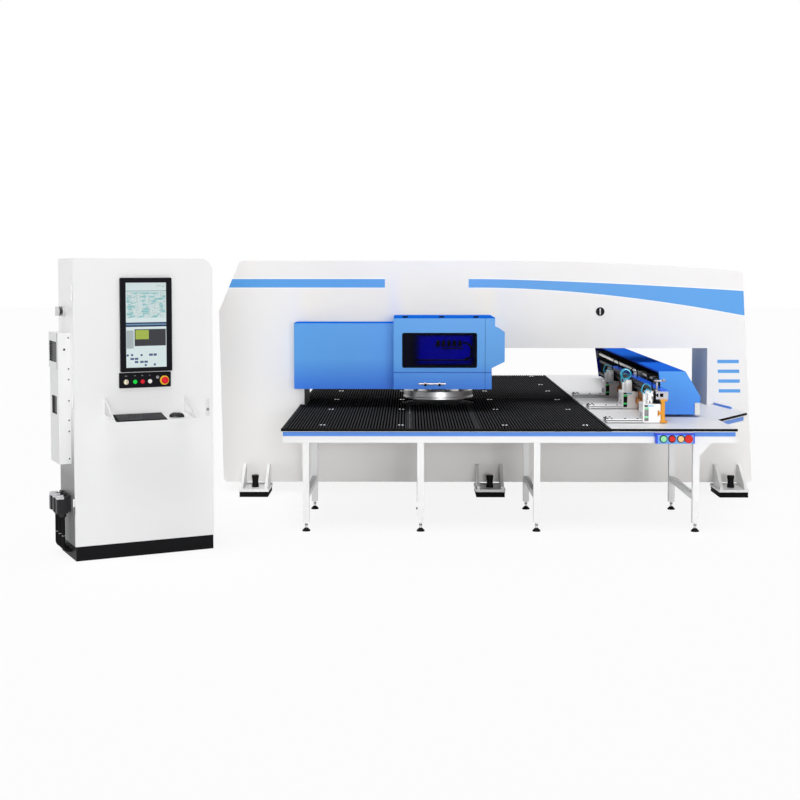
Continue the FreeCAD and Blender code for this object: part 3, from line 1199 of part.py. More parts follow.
def keyboard_tray():
    """Folded tray between two open triangular cheeks, screwed to the door."""
    y0, y1 = tray_front(), -CABINET_DOOR_THICK
    t = TRAY_SHEET
    low, high = TRAY_FRONT_Z, TRAY_FRONT_Z + TRAY_RISE
    floor = outline_yz([(y0, low), (y1, high), (y1, high + t), (y0, low + t)], *TRAY_U)
    lip = box(TRAY_U, (y0, y0 + t), (low, low + TRAY_LIP))
    back = box(TRAY_U, (y1 - t, y1), (high - TRAY_FLANGE, high + t))
    outline = [(y0, low), (y1, high), (y1, high + TRAY_CHEEK), (y1 - TRAY_CHEEK_HEAD, high + TRAY_CHEEK),
               (y0, low + TRAY_LIP)]
    cheeks = []
    for u in (TRAY_U[0], TRAY_U[1] - t):
        ring = [Vector(u, y, z) for y, z in outline]
        face = Part.Face(Part.makePolygon(ring + ring[:1]))
        opening = face.makeOffset2D(-TRAY_CHEEK_RIM, 2)
        cheeks.append(face.extrude(Vector(t, 0, 0)).cut(opening.extrude(Vector(t, 0, 0))))
    return join([floor, lip, back] + cheeks)


def keyboard():
    """Wedge-shaped keyboard that stands on the tray, higher at the back."""
    length, depth = KEYBOARD_SIZE
    y0 = tray_front() + KEYBOARD_SETBACK
    y1 = y0 + depth
    front, back = KEYBOARD_HEIGHTS
    return outline_yz([(y0, tray_surface(y0)), (y1, tray_surface(y1)), (y1, tray_surface(y1) + back),
                       (y0, tray_surface(y0) + front)], KEYBOARD_U, KEYBOARD_U + length)


def mouse():
    """Arched mouse with rounded corners that lies on the tray, a little askew."""
    length, width, height = MOUSE_SIZE
    plan = box((-length / 2, length / 2), (-width / 2, width / 2), (0, height))
    plan = round_edges(plan, MOUSE_ROUND, lambda c, e: upright(e))
    arch = ((length / 2) ** 2 + height ** 2) / (2 * height)
    body = plan.common(rod((0, -width, height - arch), (0, 1, 0), arch, 2 * width))
    slope = math.degrees(math.atan(TRAY_RISE / TRAY_DEPTH))
    y = -CABINET_DOOR_THICK - MOUSE_AT[1]
    turn = FreeCAD.Rotation(Vector(0, 0, 1), MOUSE_TURN)
    lean = FreeCAD.Rotation(Vector(1, 0, 0), slope)
    return placed(body, FreeCAD.Placement(Vector(MOUSE_AT[0], y, tray_surface(y)), lean.multiply(turn)))


def cooling_unit():
    """Side-mounted air conditioner: proud head with a louvred grille, and a lower vent."""
    v0, v1 = COOLER_V
    body = box((-COOLER_PROUD, 0), COOLER_V, COOLER_Z)
    head = box((-COOLER_HEAD_PROUD, 0), COOLER_V, (COOLER_HEAD_Z, COOLER_Z[1]))
    unit = join([body, head])
    face = -COOLER_HEAD_PROUD
    vs = (v0 + COOLER_GRILLE_MARGIN, v1 - COOLER_GRILLE_MARGIN)
    unit = unit.cut(box((face - 1, face + COOLER_RECESS), vs, COOLER_GRILLE_Z))
    pitch = (COOLER_GRILLE_Z[1] - COOLER_GRILLE_Z[0]) / COOLER_SLATS
    slats = []
    for i in range(1, COOLER_SLATS):
        z = COOLER_GRILLE_Z[0] + i * pitch
        slats.append(box((face + 3, face + COOLER_RECESS + 1), (vs[0] - 1, vs[1] + 1),
                         (z, z + COOLER_SLAT_THICK)))
    unit = join([unit] + slats)
    unit = unit.cut(box((-COOLER_PROUD - 1, -COOLER_PROUD + COOLER_RECESS), (v0 + 60, v1 - 60), COOLER_VENT_Z))
    x, z = COOLER_DRAIN
    return unit.cut(rod((x, v0 - 1, z), (0, 1, 0), COOLER_DRAIN_RADIUS, 13))


def isolator_handle():
    """Rotary main switch: round base, neck and a knob with a raised grip."""
    def disc(start, radius, end):
        return rod((-start, ISOLATOR_V, ISOLATOR_Z), (-1, 0, 0), radius, end - start)
    neck_radius, neck_end = ISOLATOR_NECK
    radius, out = ISOLATOR_KNOB
    knob = disc(neck_end, radius, out)
    for side in (-1, 1):
        knob = knob.cut(box((-out - 1, -neck_end - 12),
                            span(ISOLATOR_V + side * ISOLATOR_GRIP / 2, ISOLATOR_V + side * (radius + 1)),
                            (ISOLATOR_Z - radius - 1, ISOLATOR_Z + radius + 1)))
    neck = disc(ISOLATOR_BASE - 1, neck_radius, neck_end + 1)
    return join([disc(0.3, ISOLATOR_RADIUS, ISOLATOR_BASE), neck, knob])


def plug_connectors():
    """Heavy-duty plug connectors on the left wall, each with a flange and a locking lever."""
    plugs = []
    half = PLUG_WIDTH / 2
    z0 = PLUG_Z[0] + PLUG_NECK
    for v in PLUG_VS:
        flange = box((-PLUG_FLANGE, 0), (v - half - 6, v + half + 6), (z0 + 12, PLUG_Z[1]))
        shell = box((-PLUG_PROUD, -PLUG_FLANGE + 1), (v - half, v + half), (z0, PLUG_Z[1] - LEVER_RADIUS))
        shell = round_edges(shell, 10, lambda c, e: upright(e) and c.x < -PLUG_PROUD + 1)
        neck = rod((-PLUG_PROUD / 2, v, PLUG_Z[0]), (0, 0, 1), 24, PLUG_NECK + 1)
        lever = rod((-PLUG_PROUD, v, PLUG_Z[1] - LEVER_RADIUS), (1, 0, 0), LEVER_RADIUS, LEVER_LENGTH)
        plugs.append(join([flange, shell, neck, lever]))
    return group(plugs)


def cable(v):
    """Power cable from a plug's neck down and round into the plinth's side."""
    x = -PLUG_PROUD / 2
    bend = PLUG_PROUD / 2 - 6
    low = PLINTH_HEIGHT / 2
    a = Vector(x, v, PLUG_Z[0])
    b = Vector(x, v, low + bend)
    mid = Vector(x + bend * (1 - math.cos(math.pi / 4)), v, low + bend * (1 - math.sin(math.pi / 4)))
    c = Vector(x + bend, v, low)
    d = Vector(PLINTH_INSET, v, low)
    path = Part.Wire([Part.LineSegment(a, b).toShape(), Part.Arc(b, mid, c).toShape(),
                      Part.LineSegment(c, d).toShape()])
    corners = [Vector(px, py, a.z) for px, py in ring_points((x, v), CABLE_RADIUS, 12)]
    ring = Part.makePolygon(corners + corners[:1])
    return path.makePipeShell([ring], True, False)


def cabinet_nodes():
    """Every node of the control cabinet, turned and put in its place."""
    nodes = {
        "cabinet_shell": cabinet_shell(),
        "cabinet_plinth": cabinet_plinth(),
        "cabinet_door": cabinet_door(),
        "monitor": monitor(),
        "control_panel": control_panel(),
        "panel_button_green": panel_plunger(PANEL_BUTTON_US[0]),
        "panel_button_red": panel_plunger(PANEL_BUTTON_US[1]),
        "panel_button_white": panel_plunger(PANEL_BUTTON_US[2]),
        "panel_stop_button": panel_stop(),
        "panel_selector": selector_knob(),
        "panel_key": key_switch(),
        "keyboard_tray": keyboard_tray(),
        "keyboard": keyboard(),
        "mouse": mouse(),
        "cooling_unit": cooling_unit(),
        "isolator_handle": isolator_handle(),
        "plug_connectors": plug_connectors(),
        "connector_cables": group([cable(v) for v in PLUG_VS]),
    }
    place = FreeCAD.Placement(Vector(CABINET_PLACE[0], CABINET_PLACE[1], 0),
                              FreeCAD.Rotation(Vector(0, 0, 1), CABINET_TURN))
    return {name: placed(shape, place) for name, shape in nodes.items()}


def placed(shape, place):
    """Copy of a shape, moved rigidly."""
    copy = shape.copy()
    copy.Placement = place.multiply(copy.Placement)
    return copy


# ---- all nodes --------------------------------------------------------------
def press_nodes():
    """Every node of the press itself, in modelling coordinates."""
    front = station_front()
    nodes = {
        "press_frame": press_frame(),
        "frame_feet": group([frame_foot(*spot) for spot in foot_spots()]),
        "foot_pads": group([foot_pad(*spot) for spot in foot_spots()]),
        "jack_bolts": group([jack_bolt(*spot) for spot in foot_spots()]),
        "hood_side_cover": hood_side_cover(),
        "hood_turret_cover": hood_turret_cover(),
        "hood_door": hood_door(),
        "hood_window": hood_window(),
        "turret_housings": group(turret_bearings() + [ram_guide()]),
        "upper_turret": upper_turret(),
        "lower_turret": lower_turret(),
        "punches": group([punch(*spot) for spot in station_spots()]),
        "dies": group([die(*spot) for spot in station_spots()]),
        "ram": ram(),
        "table_frames": table_frames(),
        "levelling_feet": group([levelling_foot(x, y) for x in LEG_XS for y in LEG_YS]),
        "brush_plates": brush_plates(),
        "steel_plates": steel_plates(),
        "edge_strips": edge_strips(),
        "table_bolts": table_bolts(),
        "button_box": button_box(),
        "station_stop_button": stop_button((STATION_STOP_X, front, STATION_BUTTON_Z), (0, -1, 0)),
        "cross_rails": cross_rails(),
        "beam_housing": beam_housing(),
        "beam_rails": beam_rails(),
        "beam_saddles": group([beam_saddle(-1), beam_saddle(1), beam_buffer()]),
        "screw_drive": screw_drive(),
        "ball_screw": ball_screw(),
        "carriage_beam": carriage_beam(),
        "carriage_extrusion": carriage_extrusion(),
        "carriage_strip": carriage_strip(),
        "carriage_slides": carriage_slides(),
        "air_hose": air_hose(),
    }
    for colour, x in zip(("green", "red", "yellow"), STATION_BUTTON_XS):
        nodes["station_button_" + colour] = plunger((x, front, STATION_BUTTON_Z), (0, -1, 0))
    for number, y in enumerate(CLAMP_YS, 1):
        nodes["clamp_body_%d" % number] = group([clamp_body(y), clamp_cylinder(y)])
        nodes["clamp_jaw_%d" % number] = clamp_jaw(y)
    return nodes


def main():
    """Build every node, put the origin under the middle of the whole, and write the files."""
    os.makedirs("parts", exist_ok=True)
    nodes = dict(press_nodes(), **cabinet_nodes())
    whole = FreeCAD.BoundBox()
    for shape in nodes.values():
        whole.add(shape.optimalBoundingBox(False, False))
    shift = Vector(-(whole.XMin + whole.XMax) / 2, -(whole.YMin + whole.YMax) / 2, 0)
    print("shift", shift, "size", whole.XLength, whole.YLength, whole.ZLength, "nodes", len(nodes))
    for name, shape in sorted(nodes.items()):
        shape.translated(shift).exportStep("parts/%s.step" % name)


main()
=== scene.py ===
import bpy
import bmesh
import math
import numpy as np
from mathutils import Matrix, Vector


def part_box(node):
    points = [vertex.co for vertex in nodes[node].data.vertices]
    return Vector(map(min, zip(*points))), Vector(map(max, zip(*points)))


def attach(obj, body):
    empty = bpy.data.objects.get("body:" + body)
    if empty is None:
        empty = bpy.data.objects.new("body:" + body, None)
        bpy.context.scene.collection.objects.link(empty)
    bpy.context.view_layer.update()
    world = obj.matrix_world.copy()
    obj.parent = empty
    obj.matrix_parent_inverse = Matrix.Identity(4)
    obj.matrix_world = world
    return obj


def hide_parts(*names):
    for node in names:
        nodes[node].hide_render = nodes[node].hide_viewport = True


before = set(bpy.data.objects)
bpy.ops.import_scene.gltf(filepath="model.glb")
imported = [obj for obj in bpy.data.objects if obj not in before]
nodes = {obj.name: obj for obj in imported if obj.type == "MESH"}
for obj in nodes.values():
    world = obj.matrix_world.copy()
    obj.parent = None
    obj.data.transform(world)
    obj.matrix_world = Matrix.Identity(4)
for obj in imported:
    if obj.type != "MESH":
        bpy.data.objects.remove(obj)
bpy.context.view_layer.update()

# ---- the O-frame -------------------------------------------------------------
# The press frame is a ring of thick welded plate, filled, primed and sprayed with
# a satin grey-white enamel. The two blue bands, each with a thin white edge, and the
# four bars at its right end are sprayed through masks.
frame_low, frame_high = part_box("press_frame")
TIP_TO_DATUM = 1.904                    # from the frame's left tip to x = 0 of its own drawing
datum = Vector((frame_low.x + TIP_TO_DATUM, (frame_low.y + frame_high.y) / 2, 0))
FACE = frame_low.y - datum.y            # the frame's front face, measured from the datum


def grey(level):
    """A colour with no tint."""
    return (level, level, level)


WHITE = grey(0.82)
PAPER_WHITE = grey(0.92)
NEAR_BLACK = (0.010, 0.010, 0.011)
FRAME_WHITE = (0.830, 0.815, 0.802)
COUNTER_BOUNCE_WHITE = (0.930, 0.858, 0.654)      # painted light: over the blue covers, against their shade and the blue light bounced from their tops
BAND_BLUE = (0.070, 0.320, 0.740)


class Wire:
    """One output of a shader node: sums and products written on wires add Math nodes."""

    def __init__(self, tree, socket):
        self.tree = tree
        self.socket = socket

    def node(self, kind, inputs, output=0, **settings):
        """Adds a node of a kind, applies its settings, then fills or links its inputs."""
        made = self.tree.nodes.new(kind)
        for name, value in settings.items():
            setattr(made, name, value)
        for key, value in inputs.items():
            if isinstance(value, Wire):
                self.tree.links.new(value.socket, made.inputs[key])
            else:
                made.inputs[key].default_value = value
        return Wire(self.tree, made.outputs[output])

    def maths(self, operation, first, second=0.0):
        return self.node("ShaderNodeMath", {0: first, 1: second}, operation=operation)

    def either(self, other):
        """The larger of two numbers, so 1 where either of two masks is 1."""
        return self.maths("MAXIMUM", self, other)

    def ramp(self, high=1.0):
        """This number, no lower than 0 and no higher than a limit."""
        return self.maths("MINIMUM", self.either(0.0), high)

    def size(self):
        return self.maths("ABSOLUTE", self)

    def between(self, low, high):
        """1 from low to high and 0 elsewhere."""
        return (self > low) * (self < high)

    def blend(self, first, second):
        """The first colour where this wire is 0, the second where it is 1."""
        first, second = (colour if isinstance(colour, Wire) else (*colour, 1) for colour in (first, second))
        return self.node("ShaderNodeMix", {0: self, 6: first, 7: second}, 2, data_type="RGBA")

    def noise(self, scale, detail=3.0, stretch=(1, 1, 1)):
        """Soft noise from 0 to 1 read at this place, its scale in features per metre."""
        spread = self.node("ShaderNodeVectorMath", {0: self, 1: stretch}, operation="MULTIPLY")
        return self.node("ShaderNodeTexNoise", {"Vector": spread, "Scale": scale, "Detail": detail})

    def parts(self):
        """The three numbers of a place."""
        return [self.node("ShaderNodeSeparateXYZ", {0: self}, i) for i in range(3)]


def operator(operation, swapped=False):
    """A method that joins a wire and another value by a Math node."""
    if swapped:
        return lambda self, other: self.maths(operation, other, self)
    return lambda self, other: self.maths(operation, self, other)


for sign, operation in (("add", "ADD"), ("sub", "SUBTRACT"), ("mul", "MULTIPLY"), ("truediv", "DIVIDE"),
                        ("mod", "FLOORED_MODULO"), ("pow", "POWER"), ("lt", "LESS_THAN"),
                        ("gt", "GREATER_THAN")):
    setattr(Wire, "__%s__" % sign, operator(operation))
Wire.__rsub__ = operator("SUBTRACT", True)


def place_in(name, kind="Object"):
    """A new material, and the wire of its Object coordinates in metres or of its UV map."""
    material = bpy.data.materials.new(name)
    material.use_nodes = True
    coordinates = material.node_tree.nodes.new("ShaderNodeTexCoord")
    return material, Wire(material.node_tree, coordinates.outputs[kind])


def finish(material, colour, rough, metal=0.0, bump=None, depth=0.0005, **fixed):
    """Joins colour, roughness, metal and bump height to the material's own shader."""
    tree = material.node_tree
    shader = tree.nodes["Principled BSDF"]
    wanted = {"Base Color": colour, "Roughness": rough, "Metallic": metal, **fixed}
    if bump is not None:
        wanted["Normal"] = bump.node("ShaderNodeBump", {"Height": bump, "Distance": depth})
    for key, value in wanted.items():
        if isinstance(value, Wire):
            tree.links.new(value.socket, shader.inputs[key])
        else:
            shader.inputs[key].default_value = (*value, 1) if isinstance(value, tuple) else value
    return material


def enamel(name, paint, sheen=0.38, shine=0.5, lacquer=None):
    """Sprayed enamel: fine orange peel, slow drifts in shade, and a little dust near the floor.

    paint turns the place's wire into the coat's colour and lacquer into the weight of the clear
    coat over it; shine is the reflection of the coat itself.
    """
    material, place = place_in(name)
    cloud = place.noise(1.7)
    dust = ((0.35 - place.parts()[2]) * 1.2).either(0.0) * place.noise(9.0)
    coat = (cloud * 0.05).blend((dust * 0.20).blend(paint(place), grey(0.42)), (0.16, 0.16, 0.17))
    clear = lacquer(place) if lacquer else shine * 0.2
    return finish(material, coat, cloud * 0.14 + (sheen - 0.07), 0.0, place.noise(260.0, 1.0), 0.0002,
                  **{"Coat Weight": clear, "Coat Roughness": 0.2, "Specular IOR Level": shine})


def mottled(scale, first, second, amount=1.0):
    """Paint that drifts between two colours."""
    return lambda place: (place.noise(scale) * amount).blend(first, second)


def drawn(place):
    """Right, back and up from the press's own datum, as three wires."""
    x, y, z = place.parts()
    return x - datum.x, y - datum.y, z


BAND_TOP = 2.132
BAND_DEPTH = 0.085
BAND_GAP = (-0.249, 0.584)              # the bare place between the two bands
BAND_TURN = 0.70                        # from here the right band dips and widens
BAR_START = (3.064, 1.311)
BAR_SIZE = (0.214, 0.034)
BAR_PITCH = 0.098
BAR_COUNT = 4
BAR_SLANT = 0.006                       # how far right of its upper neighbour a bar starts
EDGE = 0.009
WINDOW_JAMB = 1.055                     # left of the datum; painted shade blackens its lower part
JAMB_SHADE_HEIGHTS = (0.86, 1.20)
COVERS = (("hood_side_cover", 0.80, 1.6), ("hood_turret_cover", 0.95, 1.9))  # strength, fall per metre
COVER_MARGIN = 0.14                     # how far inside a cover's end the way beside it starts


def counter_bounce_tint(x, z):
    """How much painted light warms the white against the covers' shade and blue bounce: each cover's
    strength, less its fall per metre of the way from its top.

    The way counts three times beside the middle of the cover and six times below its top.
    """
    counter_tint = 0.0
    for cover, strength, fall in COVERS:
        low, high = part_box(cover)
        half = (high.x - low.x) / 2 - COVER_MARGIN
        beside = ((x + (datum.x - (low.x + high.x) / 2)).size() - half).either(0.0)
        above = z - high.z
        way = (above.either(above * -6.0) ** 2.0 + (beside * 3.0) ** 2.0) ** 0.5
        counter_tint = (strength - way * fall).either(counter_tint)
    return counter_tint


def frame_paint(place):
    """White, with two bands and four bars; painted shade blackens the window's jamb low down, and painted
    light warms the white near the covers.

    Along the right band the upper edge falls with the 1.4th power of the run past
    its turn and the lower edge with the 1.8th, so that it widens like a horn.
    """
    x, y, z = drawn(place)
    run = (x - BAND_TURN).either(0.0)
    upper = BAND_TOP - run ** 1.4 * 0.0306
    lower = BAND_TOP - BAND_DEPTH - run ** 1.8 * 0.0489
    front = y < FACE + 0.020
    along = (1.0 - x.between(*BAND_GAP)) * front
    band = (z < upper) * (z > lower) * along
    outer = (z < upper + EDGE) * (z > lower - EDGE) * along
    step = (BAR_START[1] + BAR_SIZE[1] / 2 - z) / BAR_PITCH
    row = step.maths("FLOOR", step)
    left = row * BAR_SLANT + BAR_START[0]
    within = ((step - row) < BAR_SIZE[1] / BAR_PITCH) * row.between(-0.5, BAR_COUNT - 0.5)
    bar = within * (x > left) * (x < left + BAR_SIZE[0])
    # painted light warms the white near the covers
    coat = outer.blend((counter_bounce_tint(x, z) * front).blend(FRAME_WHITE, COUNTER_BOUNCE_WHITE), PAPER_WHITE)
    # painted shade: the window's left jamb black low down, in the table's shade
    jamb_shade = ((x + WINDOW_JAMB).size() < 0.001) * (y > FACE + 0.001) * z.between(*JAMB_SHADE_HEIGHTS)
    return band.either(bar * front).blend(jamb_shade.blend(coat, NEAR_BLACK), BAND_BLUE)


def dress(node, material):
    """Gives a CAD node its finish."""
    nodes[node].data.materials.clear()
    nodes[node].data.materials.append(material)


dress("press_frame", enamel("frame enamel", frame_paint, 0.42, 0.25))

# ---- lifting-hole plug -------------------------------------------------------
# A black moulded cap closes the lifting hole in the frame's upper arm. It is a
# shallow turned disc with a raised rim and a pale bar across a dark recess.


def at(x, y, z, back=datum.y):
    """Place right, back and up from the datum, or from another place behind it."""
    return (datum.x + x, back + y, z)


def object_of(name, mesh, smooth=False):
    """Object in the scene from a mesh, its faces shaded smooth or flat."""
    mesh.polygons.foreach_set("use_smooth", np.full(len(mesh.polygons), smooth))
    made = bpy.data.objects.new(name, mesh)
    bpy.context.scene.collection.objects.link(made)
    return made


def mesh_of(name, points, faces):
    """Mesh from points and faces."""
    mesh = bpy.data.meshes.new(name)
    mesh.from_pydata(np.asarray(points).tolist(), [], [list(face) for face in faces])
    return mesh


def mend(mesh, step):
    """Runs a bmesh step on a mesh, then turns its normals outwards."""
    work = bmesh.new()
    work.from_mesh(mesh)
    step(work)
    bmesh.ops.recalc_face_normals(work, faces=work.faces)
    work.to_mesh(mesh)
    work.free()


def merge_doubles(work):
    bmesh.ops.remove_doubles(work, verts=work.verts, dist=1e-6)
    bmesh.ops.dissolve_degenerate(work, edges=work.edges, dist=1e-7)


def fill_holes(work):
    bmesh.ops.holes_fill(work, edges=work.edges, sides=0)


def surface(name, points, closed=(False, False)):
    """Mesh over a grid of points, rows by columns, with its seams and poles closed.

    Each cell of the grid becomes one face; a closed direction also joins the last
    line of points to the first.
    """
    rows, columns = points.shape[:2]
    index = np.arange(rows * columns).reshape(rows, columns)
    if closed[0]:
        index = np.vstack([index, index[:1]])
    if closed[1]:
        index = np.hstack([index, index[:, :1]])
    faces = np.stack([index[:-1, :-1], index[:-1, 1:], index[1:, 1:], index[1:, :-1]], -1).reshape(-1, 4)
    mesh = mesh_of(name, points.reshape(-1, 3), faces.tolist())
    mend(mesh, merge_doubles)
    made = object_of(name, mesh, True)
    mesh.set_sharp_from_angle(angle=math.radians(35))
    return made


def ring(across, along, sides):
    """Unit circle square to a direction, its points on a last-but-one axis of the array."""
    turn = np.linspace(0, 2 * math.pi, sides, endpoint=False)[None, :, None]
    return np.cos(turn) * across + np.sin(turn) * np.cross(along, across)


def turned(name, profile, centre, axis=(0, 0, 1), sides=32):
    """Surface of revolution: each radius and height pair, in millimetres, goes once round the axis."""
    profile = np.array(profile) / 1000
    up = np.array(axis, float)
    across = np.cross(up, (1, 0, 0) if abs(up[0]) < 0.9 else (0, 1, 0))
    across /= np.linalg.norm(across)
    points = np.array(centre) + profile[:, :1, None] * ring(across, up, sides) + profile[:, 1:, None] * up
    return surface(name, points, (False, True))


def fit(piece, body, slot, material, *stands_for):
    """Gives a new piece its finish, the body that carries it and the node it stands for."""
    piece.data.materials.append(material)
    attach(piece, body)
    if stands_for:
        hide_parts(*stands_for)


def joined(pieces):
    """One object from several of the same finish."""
    with bpy.context.temp_override(active_object=pieces[0], selected_editable_objects=pieces):
        bpy.ops.object.join()
    return pieces[0]


def shade(colour, factor, lift=0.0):
    """A colour made darker or lighter by a factor, then lifted evenly."""
    return tuple(min(1.0, c * factor + lift) for c in colour)


def moulded(name, colour, rough=0.45, grain=900.0, **fixed):
    """Moulded plastic or rubber with a fine spark-eroded grain."""
    material, place = place_in(name)
    cloud = place.noise(14.0)
    tone = (cloud * 0.35).blend(colour, shade(colour, 0.7, 0.008))
    rough = cloud * 0.15 + (rough - 0.07)
    return finish(material, tone, rough, 0.0, place.noise(grain, 1.0), 0.0001, **fixed)


dull = {"Specular IOR Level": 0.06}
black_plastic = moulded("black plastic", (0.006, 0.006, 0.009), 0.4, **dull)
rubber = moulded("black rubber", grey(0.006), 0.72, 500.0, **dull)
pale_plastic = moulded("pale plastic", (0.75, 0.75, 0.76), 0.4)
PLUG_SPOT = (1.894, FACE, 1.809)
PLUG = [(0, 2), (34, 2), (36, 6), (41, 6), (43, 4), (43, -4), (0, -4)]
PLUG_BAR = (0.006, 0.030)               # half width and half length
fit(turned("lifting_plug", PLUG, at(*PLUG_SPOT), (0, -1, 0)), "root", "black_plastic", black_plastic)


def rounded(name, low, high, radius):
    """Box with rounded edges: each direction n of a sphere goes to core * sign(n) + radius * n.

    The core is the box less the radius all round, so that a patch of sphere makes
    each corner, and the long faces span between the patches.
    """
    low, high = np.array(low, float), np.array(high, float)
    radius = min(radius, (high - low).min() / 2 - 1e-5)
    tilt = np.concatenate([[0.0], (np.arange(8) + 0.5) / 8, [1.0]]) * math.pi
    turn = (np.arange(12) + 0.5) / 12 * 2 * math.pi
    normal = np.stack([np.sin(tilt)[:, None] * np.cos(turn), np.sin(tilt)[:, None] * np.sin(turn),
                       np.repeat(np.cos(tilt)[:, None], len(turn), 1)], -1)
    side = np.sign(np.where(abs(normal) < 1e-9, 0, normal))
    side[0, :, :2] = np.sign(normal[1, :, :2])
    side[-1, :, :2] = np.sign(normal[-2, :, :2])
    core = (high - low) / 2 - radius
    made = surface(name, (low + high) / 2 + core * side + radius * normal, (False, True))
    mend(made.data, fill_holes)
    return made


def block(name, x, y, z, radius, back=datum.y):
    """Rounded box between pairs of ways right, back and up from the datum."""
    return rounded(name, *(at(x[i], y[i], z[i], back) for i in (0, 1)), radius)


x, y, z = PLUG_SPOT
wide, tall = PLUG_BAR
bar = block("lifting_plug_bar", (x - wide, x + wide), (y - 0.009, y), (z - tall, z + tall), 0.004)
fit(bar, "root", "white_plastic", pale_plastic)

# ---- feet --------------------------------------------------------------------
# Six welded foot plates with gussets carry the frame on steel levelling blocks
# with a rubber face; waisted jack bolts set the height and are then locked.


def steel(name, colour=(0.62, 0.62, 0.63), rough=0.25, metal=1.0, scale=220.0, **fixed):
    """Machined steel: fine marks of the tool, and faint smears of oil."""
    material, place = place_in(name)
    lines = place.noise(scale, 2.0)
    smear = place.noise(6.0)
    tone = (smear * 0.5 + lines * 0.3).blend(colour, shade(colour, 0.72))
    rough = lines * 0.16 + smear * 0.12 + (rough - 0.12)
    return finish(material, tone, rough, metal, lines, 0.00012, **fixed)


black_steel = steel("blued steel", (0.009, 0.009, 0.010), 0.42, 0.1, **dull)
plain_enamel = enamel("structure enamel", mottled(0.6, WHITE, PAPER_WHITE, 0.1))
dress("frame_feet", plain_enamel)
FOOT_XS = (-1.530, 0.790, 3.168)
PAD_HALF = 0.140
PAD_Y = (0.298, 0.694)                  # from the datum, before and behind the frame alike
PAD_LAYERS = ((0.0, 0.024, 0.0), (0.022, 0.030, 0.008), (0.028, 0.052, 0.0))
JACK_Y = 0.548
JACK = [(0, 78), (35, 78), (35.5, 82), (35.5, 96), (33, 100), (30, 126), (29.5, 137), (30, 148), (33, 168),
        (35.5, 174), (35.5, 190), (33, 196.5), (0, 196.5)]
layers = []
jacks = []
for x in FOOT_XS:
    for side in (-1, 1):
        ys = sorted((side * PAD_Y[0], side * PAD_Y[1]))
        for low, high, inset in PAD_LAYERS:
            half = PAD_HALF - inset
            layers.append(block("levelling_blocks", (x - half, x + half), (ys[0] + inset, ys[1] - inset),
                                (low, high), 0.003))
        jacks.append(turned("jack_screws", JACK, at(x, side * JACK_Y, 0), sides=24))
fit(joined(layers), "root", "black_rubber", rubber, "foot_pads")
fit(joined(jacks), "root", "black_steel", black_steel, "jack_bolts")

# ---- hood --------------------------------------------------------------------
# Folded sheet covers guard the turret: a closed side cover, and a turret cover
# with a bulged flank and a top-hung door. Both are sprayed in blue, with black
# hinges; painted shade deepens the blue on the level tops and towards the bottom edge.
HOOD_BLUE = (0.098, 0.350, 0.800)
HOOD_SHADE_BLUE = (0.004, 0.100, 0.740)
HOOD_TOP_SHADE_BLUE = (0.003, 0.145, 0.740)
SEAM_BLUE = (0.002, 0.050, 0.450)
SIDE_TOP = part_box("hood_side_cover")[1].z
SIDE_END = -0.158                       # where the side cover meets the turret cover
HOOD_TOP = 1.775
DOOR_FRONT = -1.118
SEAM_HEIGHT = 1.259
SEAM_HALF = 0.0048
HOOD_SHADE_BELOW = 1.36                       # under this height painted shade deepens the blue


def hood_tops(x, z):
    """1 on the level tops of the two covers."""
    return ((z > SIDE_TOP - 0.004) * (x < SIDE_END)).either(z > HOOD_TOP - 0.006)


def hood_paint(place):
    """Blue with painted shade, deeper towards the bottom edge and a deeper, vivid blue on the level tops;
    vivid at the seam.
    """
    x, y, z = drawn(place)
    # painted shade: deeper blue low down and on the level tops
    coat = ((HOOD_SHADE_BELOW - z) * 2.2).ramp(0.8).blend(HOOD_BLUE, HOOD_SHADE_BLUE)
    seam = ((z - SEAM_HEIGHT).size() < SEAM_HALF) * (y < DOOR_FRONT + 0.018)
    return (seam * 0.8).blend(hood_tops(x, z).blend(coat, HOOD_TOP_SHADE_BLUE), SEAM_BLUE)


def hood_lacquer(place):
    """Clear coat on the upright faces; the flat tops are dull."""
    x, _, z = drawn(place)
    return (1.0 - hood_tops(x, z)) * 0.22


def hood_finish(name):
    """Blue enamel, turning to blued steel on the hinges and to bright steel on the bar handle."""
    material = enamel(name, hood_paint, 0.40, 0.0, hood_lacquer)
    tree = material.node_tree
    inputs = tree.nodes["Principled BSDF"].inputs
    coat, rough = (Wire(tree, inputs[key].links[0].from_socket) for key in ("Base Color", "Roughness"))
    _, y, z = drawn(Wire(tree, tree.nodes["Texture Coordinate"].outputs["Object"]))
    hinge = z > HOOD_TOP + 0.0005
    handle = y < DOOR_FRONT - 0.0005
    tone = handle.blend(hinge.blend(coat, NEAR_BLACK), (0.40, 0.37, 0.36))
    return finish(material, tone, rough - handle * 0.12, handle)


hood_coat = hood_finish("hood enamel")
for node in ("hood_side_cover", "hood_turret_cover", "hood_door"):
    dress(node, hood_coat)

# ---- hood window -------------------------------------------------------------
# A dark blue polycarbonate pane is set behind the door's cut-out in a black rubber
# profile. Through it show a black lubricator block with five knobs and its hose.
WINDOW_LOW = (datum.x - 0.068, 1.308)
WINDOW_HIGH = (datum.x + 0.628, 1.627)
SHADES_ACROSS = ((0.105, -8.0), (0.570, 16.0))  # where an edge's shade starts, and its growth per metre
SHADES_UP = ((1.348, -28.0), (1.596, 28.0))


def smoked(name):
    """Dark blue clear plastic, with painted shade that darkens it to all but black along its four edges."""
    material, place = place_in(name)
    right, _, up = drawn(place)
    haze = place.noise(3.0)
    dark = 0.0
    for way, shades in ((right, SHADES_ACROSS), (up, SHADES_UP)):
        for start, growth in shades:
            dark = ((way - start) * growth).either(dark)
    return finish(material, haze.blend((0.0, 0.0, 0.003), (0.0, 0.0, 0.009)), haze * 0.05 + 0.05, 0.0,
                  **{"Alpha": (dark + haze * 0.20 + 0.06).ramp(0.98), "Specular IOR Level": 0.05})


dress("hood_window", smoked("tinted pane"))


